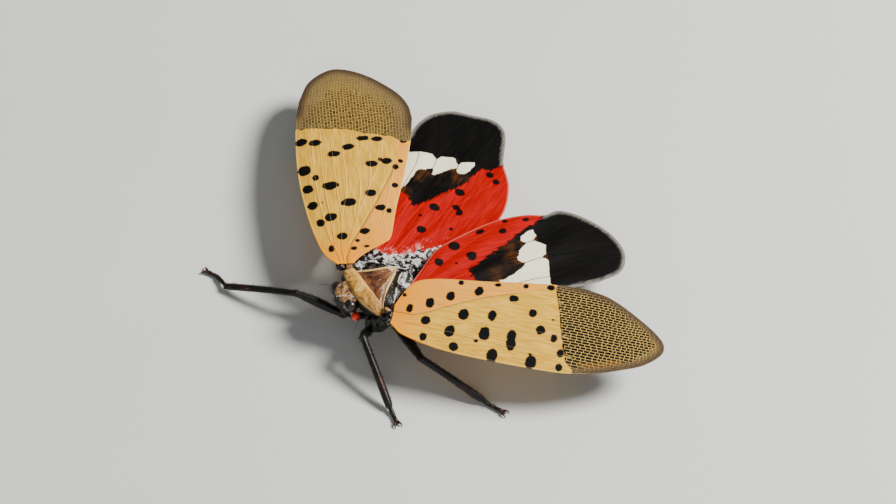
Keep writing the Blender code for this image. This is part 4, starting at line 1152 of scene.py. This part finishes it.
def end_tree(tree, made, finish, output):
    """Ends a tree by making what it made real and setting its material."""
    real = recipe("GeometryNodeRealizeInstances", "Geometry", [("Geometry", made)])
    painted = recipe("GeometryNodeSetMaterial", "Geometry", [("Geometry", real), ("Material", finish)])
    add_node(tree, "NodeGroupOutput", [(output, painted)])
    return tree


def vein_tree():
    """Turns wires into veins: flattened tubes whose width follows each wire's own girth."""
    tree, given = new_tree("vein_tree", (("Wires", "Geometry"), ("Half Width", "Float"),
                                         ("Flatness", "Float"), ("Finish", "Material")), "Veins")
    wires = recipe("GeometryNodeMeshToCurve", "Curve", [("Mesh", given["Wires"])])
    upright = recipe("GeometryNodeSetCurveNormal", "Curve", [("Curve", wires)], mode="Z_UP")
    ring = recipe("GeometryNodeCurvePrimitiveCircle", "Curve", [("Resolution", 6),
                                                                ("Radius", given["Half Width"])])
    squeeze = recipe("ShaderNodeCombineXYZ", "Vector", [("X", 1.0), ("Y", given["Flatness"]), ("Z", 1.0)])
    flat = recipe("GeometryNodeTransform", "Geometry", [("Geometry", ring), ("Scale", squeeze)])
    girth = recipe("GeometryNodeInputNamedAttribute", "Attribute", [("Name", "girth")], data_type="FLOAT")
    tubes = recipe("GeometryNodeCurveToMesh", "Mesh", [("Curve", upright), ("Profile Curve", flat),
                                                       ("Scale", girth), ("Fill Caps", True)])
    return end_tree(tree, tubes, given["Finish"], "Veins")


def grow(source, tree, settings):
    """Sets a tree's inputs by their sockets, runs it on the object and keeps the result as a plain mesh."""
    step = source.modifiers.new("grow", "NODES")
    step.node_group = tree
    for item in tree.interface.items_tree:
        if item.in_out == "INPUT" and item.name in settings:
            step[item.identifier] = settings[item.name]
    evaluated = source.evaluated_get(bpy.context.evaluated_depsgraph_get())
    mesh = bpy.data.meshes.new_from_object(evaluated)
    source.modifiers.remove(step)
    source.data = mesh
    mesh.shade_smooth()


def on_sheet(name, u, v):
    """The point of the sheet's top over a plan point, or nothing beyond its edge."""
    above = place(raise_plan(WINGS[name], (u, v), 0.5, 0.5))
    above.z = 1.0
    return sheet_tops[name].ray_cast(above, Vector((0, 0, -1)))[0]


def swayed(u, v):
    """A plan point moved a little, so that the lines of the net sway together."""
    return (u + 0.1 * noise.noise(Vector((u * 0.6, v * 0.6, 4.0))),
            v + 0.1 * noise.noise(Vector((u * 0.35, v * 0.35, 9.0))))


def rim_wires(wing):
    """The edge of the wing, stout along the front, as wires of (plan point, body point, girth)."""
    wires = []
    for count, girths, corner in ((70, (COSTA_GIRTH, RIM_GIRTH), lambda f: (0.0, f)),
                                  (110, (RIM_GIRTH, RIM_GIRTH), lambda f: (f, 1.0)),
                                  (70, (RIM_GIRTH, RIM_GIRTH), lambda f: (1.0, f))):
        line = []
        for k in range(count + 1):
            s, t = corner(k / count)
            plan = plan_point(wing, s, t)
            girth = girths[0] + (girths[1] - girths[0]) * k / count
            line.append((tuple(plan), place(raise_plan(wing, plan, s, t)), girth))
        wires.append(line)
    return wires


def laid_wire(name, plans, girths):
    """A wire through plan points, laid on the sheet and cut where it leaves it."""
    line = []
    for k, (u, v) in enumerate(plans):
        point = on_sheet(name, u, v)
        if point is None:
            break
        f = k / max(len(plans) - 1, 1)
        line.append(((u, v), point, girths[0] + (girths[1] - girths[0]) * f))
    return line


def main_veins(name, lines, girths):
    """Wires along the smooth curves through a table of lines."""
    return [laid_wire(name, [tuple(point) for point in sampled(line, 40)], girths) for line in lines]


def net_wires(name, seed):
    """The close parallel lines beyond the nodal line and the cross veins between them."""
    chance = random.Random(seed)
    wing = WINGS[name]
    wires, ends = [], {}
    long_cell, short_cell = CELL_LENGTHS[name]
    for k in NET_ROWS:
        v = k * NET_PITCH
        start = float(line_height(wing["node"], v, 0)) + chance.uniform(-0.05, 0.12)
        plans = [swayed(start + NET_STEP * n, v) for n in range(NET_STEPS)]
        line = laid_wire(name, plans, NET_GIRTHS)
        if len(line) > 2:
            ends[k] = (start, start + NET_STEP * (len(line) - 1))
            wires.append(line)
    for k, (start, end) in ends.items():
        fine = end - FINE_REACH[name] * chance.uniform(0.8, 1.2)
        if k + 1 in ends and fine < end:
            first, v = max(fine, start), (k + 0.5) * NET_PITCH
            line = laid_wire(name, [swayed(first + NET_STEP * n, v) for n in range(NET_STEPS)], FINE_GIRTHS)
            if len(line) > 2:
                wires.append(line)
        if k + 1 not in ends:
            continue
        u = start + chance.uniform(0.0, 0.15) + (long_cell / 2 if k % 2 else 0.0)
        while u < end - 0.05:
            f = (u - start) / max(end - start, 0.5)
            lean = chance.uniform(-0.05, 0.05)
            plans = [swayed(u, k * NET_PITCH), swayed(u + lean, (k + 0.5) * NET_PITCH),
                     swayed(u, (k + 1) * NET_PITCH)]
            line = laid_wire(name, plans, CROSS_GIRTHS)
            if len(line) == 3:
                wires.append(line)
            u += (long_cell + (short_cell - long_cell) * ease(f)) * chance.uniform(0.75, 1.25)
    return wires


def vein_piece(name, wires, tree):
    """Grows the veins of a wing from its wires, each point with the marks of its place on the plan."""
    plans, points, girths, edges = [], [], [], []
    for line in wires:
        for k, (plan, point, girth) in enumerate(line):
            plans.append(plan)
            points.append(point)
            girths.append(girth)
            if k:
                edges.append((len(points) - 2, len(points) - 1))
    mesh = bpy.data.meshes.new(f"{name}_veins")
    mesh.from_pydata(points, edges, [])
    plan_u, plan_v = np.array(plans).T
    set_marks(mesh, {**wing_marks(WINGS[name], plans), "vein": np.ones(len(points)), "girth": girths,
                     "plan_u": plan_u, "plan_v": plan_v})
    piece = link_object(f"{name}_veins", mesh)
    grow(piece, tree, {"Half Width": VEIN_HALF_WIDTH * MM, "Flatness": VEIN_FLATNESS,
                       "Finish": WING_FINISHES[name]})
    spread = [np.zeros(len(piece.data.vertices)), np.zeros(len(piece.data.vertices))]
    for key, values in zip(("plan_u", "plan_v"), spread):
        piece.data.attributes[key].data.foreach_get("value", values)
    map_plan(piece.data, list(zip(*spread)))
    declare(piece, [name])


veins = vein_tree()
for seed, name in enumerate(WINGS):
    wires = rim_wires(WINGS[name])
    if "veins" in WINGS[name]:
        wires += main_veins(name, WINGS[name]["veins"], HIND_GIRTHS)
    else:
        wires += main_veins(name, FORE_VEINS, FORE_GIRTHS) + net_wires(name, seed)
    vein_piece(name, wires, veins)

# Each leg is five lengths of black cuticle hinged end to end: a stout hip, a short ring, the thigh, the
# shin and a three-jointed foot with two claws and a pad, reddish brown at its tip. The hind shins carry a
# row of spines on their outer side.
LEGS = {
    "leg_fore_right": ((-1.6, -0.2, 2.9), (-1.3, -1.5, 1.15), (-4.37, -4.19, 2.5), (-9.44, -8.04, 0.5),
                       (-10.98, -8.09, 0.2), (-11.75, -8.5, 0.2)),
    "leg_fore_left": ((1.3, -0.3, 3.0), (1.6, -0.7, 1.7), (3.23, -2.27, 3.7), (8.25, -2.89, 0.5),
                      (9.0, -2.97, 0.2), (9.7, -3.1, 0.2)),
    "leg_mid_right": ((-1.15, 1.3, 2.6), (-1.7, 1.5, 1.75), (-5.2, 1.9, 3.1), (-10.9, 4.6, 0.5),
                      (-11.7, 5.0, 0.2), (-12.8, 5.5, 0.2)),
    "leg_mid_left": ((1.15, 1.3, 2.6), (1.7, 1.4, 1.75), (7.0, 0.94, 2.85), (11.66, 3.84, 0.5),
                     (12.3, 4.2, 0.2), (13.4, 4.7, 0.2)),
    "leg_hind_right": ((-1.1, 3.6, 2.3), (-1.75, 3.75, 1.4), (-4.3, 6.6, 2.1), (-7.8, 10.9, 0.5),
                       (-8.2, 11.6, 0.2), (-8.7, 12.6, 0.2)),
    "leg_hind_left": ((1.1, 3.6, 2.3), (1.75, 3.75, 1.4), (4.3, 6.2, 2.1), (8.4, 10.3, 0.5),
                      (8.9, 10.9, 0.2), (9.8, 11.8, 0.2)),
}
SPINE_PLACES = (0.3, 0.5, 0.7, 0.88)
CLAW_CURVE = ((0.0, 0.0, 0.0), (0.18, 0.1, 0.06), (0.38, 0.19, 0.02), (0.52, 0.22, -0.13))
CLAW_RADII = (0.12, 0.1, 0.07, 0.03)
HIP_RADII = (0.5, 0.46, 0.32)
RING_RADII = (0.31, 0.3)
THIGH_STOPS = 12
THIGH_RADIUS, THIGH_SWELL, THIGH_END = 0.3, 0.12, 0.32
SHIN_STOPS = 14
SHIN_RADIUS, SHIN_SWELL, SHIN_TOP, SHIN_END = 0.28, 0.05, 0.31, 0.29
FOOT_RADII = (0.22, 0.205, 0.2)
PAD_RADII = (0.16, 0.16, 0.12)
SPINE_RADII = (0.13, 0.08, 0.025)
FOOT_COLOUR_START, FOOT_COLOUR_SPAN = 0.6, 1.8


def bowed(start, end, stops, bow):
    """Points from start to end, bowed upwards a little in the middle."""
    return [start.lerp(end, k / stops) + Vector((0, 0, bow * math.sin(math.pi * k / stops)))
            for k in range(stops + 1)]


def joined(parts):
    """One list of points and one of faces from several."""
    points, faces = [], []
    for more_points, more_faces in parts:
        faces += [tuple(k + len(points) for k in face) for face in more_faces]
        points += more_points
    return points, faces


def leg_skin(name):
    """Points and faces of a leg, and how near each point lies to the foot's reddish tip."""
    coxa, trochanter, knee, ankle, sole, toe = (Vector(point) for point in LEGS[name])
    parts = [tube((coxa, coxa.lerp(trochanter, 0.5), trochanter), HIP_RADII, 24)]
    parts.append(tube((trochanter, trochanter.lerp(knee, 0.08)), RING_RADII, 24))
    swell = [math.sin(math.pi * min(k / THIGH_STOPS * 1.1, 1.0)) ** 0.7 for k in range(THIGH_STOPS)]
    girths = [THIGH_RADIUS + THIGH_SWELL * part for part in swell] + [THIGH_END]
    thigh = bowed(trochanter.lerp(knee, 0.1), knee, THIGH_STOPS, 0.1)
    parts.append(tube(thigh, girths, 24, flat=0.85, ridge=0.04))
    girths = [SHIN_RADIUS + SHIN_SWELL * k / SHIN_STOPS for k in range(1, SHIN_STOPS)]
    shin = bowed(knee, ankle, SHIN_STOPS, 0.06)
    parts.append(tube(shin, [SHIN_TOP, *girths, SHIN_END], 24, flat=0.9, ridge=0.07))
    feet = [ankle.lerp(sole, 0.12), sole.lerp(toe, 0.02), sole.lerp(toe, 0.4), toe]
    for start, end, radius in zip(feet, feet[1:], FOOT_RADII):
        parts.append(tube((start, start.lerp(end, 0.5), start.lerp(end, 0.86), end),
                          (radius * 0.75, radius * 0.92, radius, radius * 0.8), 20, flat=0.95))
    along = (toe - sole).normalized()
    for side in (1, -1):
        outward = along.cross(Vector((0, 0, 1))) * side
        root = toe + along * 0.08 + outward * 0.08
        claw = [root + along * reach + outward * spread + Vector((0, 0, rise))
                for reach, spread, rise in CLAW_CURVE]
        parts.append(tube(claw, CLAW_RADII, 14))
    parts.append(lump(toe + along * 0.22 + Vector((0, 0, -0.06)), PAD_RADII, 20, 12, relief=0.1, seed=1.0))
    if name.startswith("leg_hind"):
        shin_way = (ankle - knee).normalized()
        out = shin_way.cross(Vector((0, 0, 1))).normalized()
        out *= math.copysign(1.0, out.x * knee.x)
        for spine in SPINE_PLACES:
            root = knee.lerp(ankle, spine) + out * 0.1
            parts.append(tube((root, root + out * 0.28 + shin_way * 0.1, root + out * 0.5 + shin_way * 0.22),
                              SPINE_RADII, 12))
    points, faces = joined(parts)
    beyond = [(point - toe).length < (point - knee).length for point in points]
    foot = [ease(((point - ankle).length - FOOT_COLOUR_START) / FOOT_COLOUR_SPAN) * near
            for point, near in zip(points, beyond)]
    return (points, faces), foot


leg_tone = coats(rgb(5, 4, 5), (grain(3.0), rgb(26, 21, 19)), (times(mark("foot"), 0.7), rgb(66, 30, 20)),
                 (step_between(grain(4.0, 7.0), 0.68, 0.76, 0.6), rgb(170, 168, 160)))
leg_finish = new_finish("black_leg", 0.36, leg_tone, grain(9.0, 8.0), 0.04, Specular_IOR_Level=0.4)
leg_pieces = {}
for name in LEGS:
    skin, foot = leg_skin(name)
    leg_pieces[name] = make_piece(name.replace("leg_", "limb_"), skin, leg_finish, [name],
                                  {"foot": foot})

# Bristles are short stiff hairs of dark cuticle, each rooted in the skin of a leg. They stand all round the
# six legs, lean towards the foot, and stop just above the floor.
BRISTLE_LENGTH = 0.2
BRISTLE_RADIUS = 0.013
LEG_BRISTLES = 26.0
BRISTLE_LOWEST = 0.26
BRISTLE_LEAN, BRISTLE_RISE = 0.8, 0.15
BRISTLE_SEED = 11


def bristle_tree():
    """Scatters thin closed cones over a skin, leaning from its normal towards one direction."""
    floats = [(label, "Float") for label in ("Density", "Length", "Radius", "Lowest")]
    tree, given = new_tree("bristle_tree", [("Skin", "Geometry"), *floats, ("Lean", "Vector"),
                                            ("Seed", "Int"), ("Finish", "Material")], "Bristles")
    spot = recipe("GeometryNodeInputPosition", "Position")
    height = recipe("ShaderNodeSeparateXYZ", "Z", [("Vector", spot)])
    above = recipe("FunctionNodeCompare", "Result", [("A", height), ("B", given["Lowest"])])
    scatter = add_node(tree, "GeometryNodeDistributePointsOnFaces", [
        ("Mesh", given["Skin"]), ("Selection", above), ("Density", given["Density"]),
        ("Seed", given["Seed"])])
    lean = recipe("ShaderNodeVectorMath", "Vector", [(0, scatter.outputs["Normal"]), (1, given["Lean"])],
                  operation="ADD")
    aim = recipe("FunctionNodeAlignRotationToVector", "Rotation", [("Vector", lean)], axis="Z")
    cone = recipe("GeometryNodeMeshCone", "Mesh", [("Vertices", 5), ("Depth", given["Length"]),
                                                   ("Radius Bottom", given["Radius"])])
    size = recipe("FunctionNodeRandomValue", 1, [(2, 0.6), (3, 1.2), ("Seed", given["Seed"])],
                  data_type="FLOAT")
    stand = recipe("GeometryNodeInstanceOnPoints", "Instances", [
        ("Points", scatter.outputs["Points"]), ("Instance", cone), ("Rotation", aim), ("Scale", size)])
    return end_tree(tree, stand, given["Finish"], "Bristles")


bristles = bristle_tree()
bristle_finish = dark_cuticle("dark_bristle", 0.6, 0.8)
for number, (name, skin) in enumerate(leg_pieces.items()):
    outward = (Vector(LEGS[name][-1]) - Vector(LEGS[name][1])).normalized()
    lean = outward * BRISTLE_LEAN + Vector((0, 0, BRISTLE_RISE))
    hairs = link_object(name.replace("leg_", "bristles_"), skin.data.copy())
    grow(hairs, bristles, {"Density": LEG_BRISTLES / MM ** 2, "Length": BRISTLE_LENGTH * MM,
                           "Radius": BRISTLE_RADIUS * MM, "Lowest": BRISTLE_LOWEST * MM,
                           "Lean": tuple(lean), "Seed": BRISTLE_SEED + number, "Finish": bristle_finish})
    declare(hairs, [name])

bpy.context.view_layer.update()
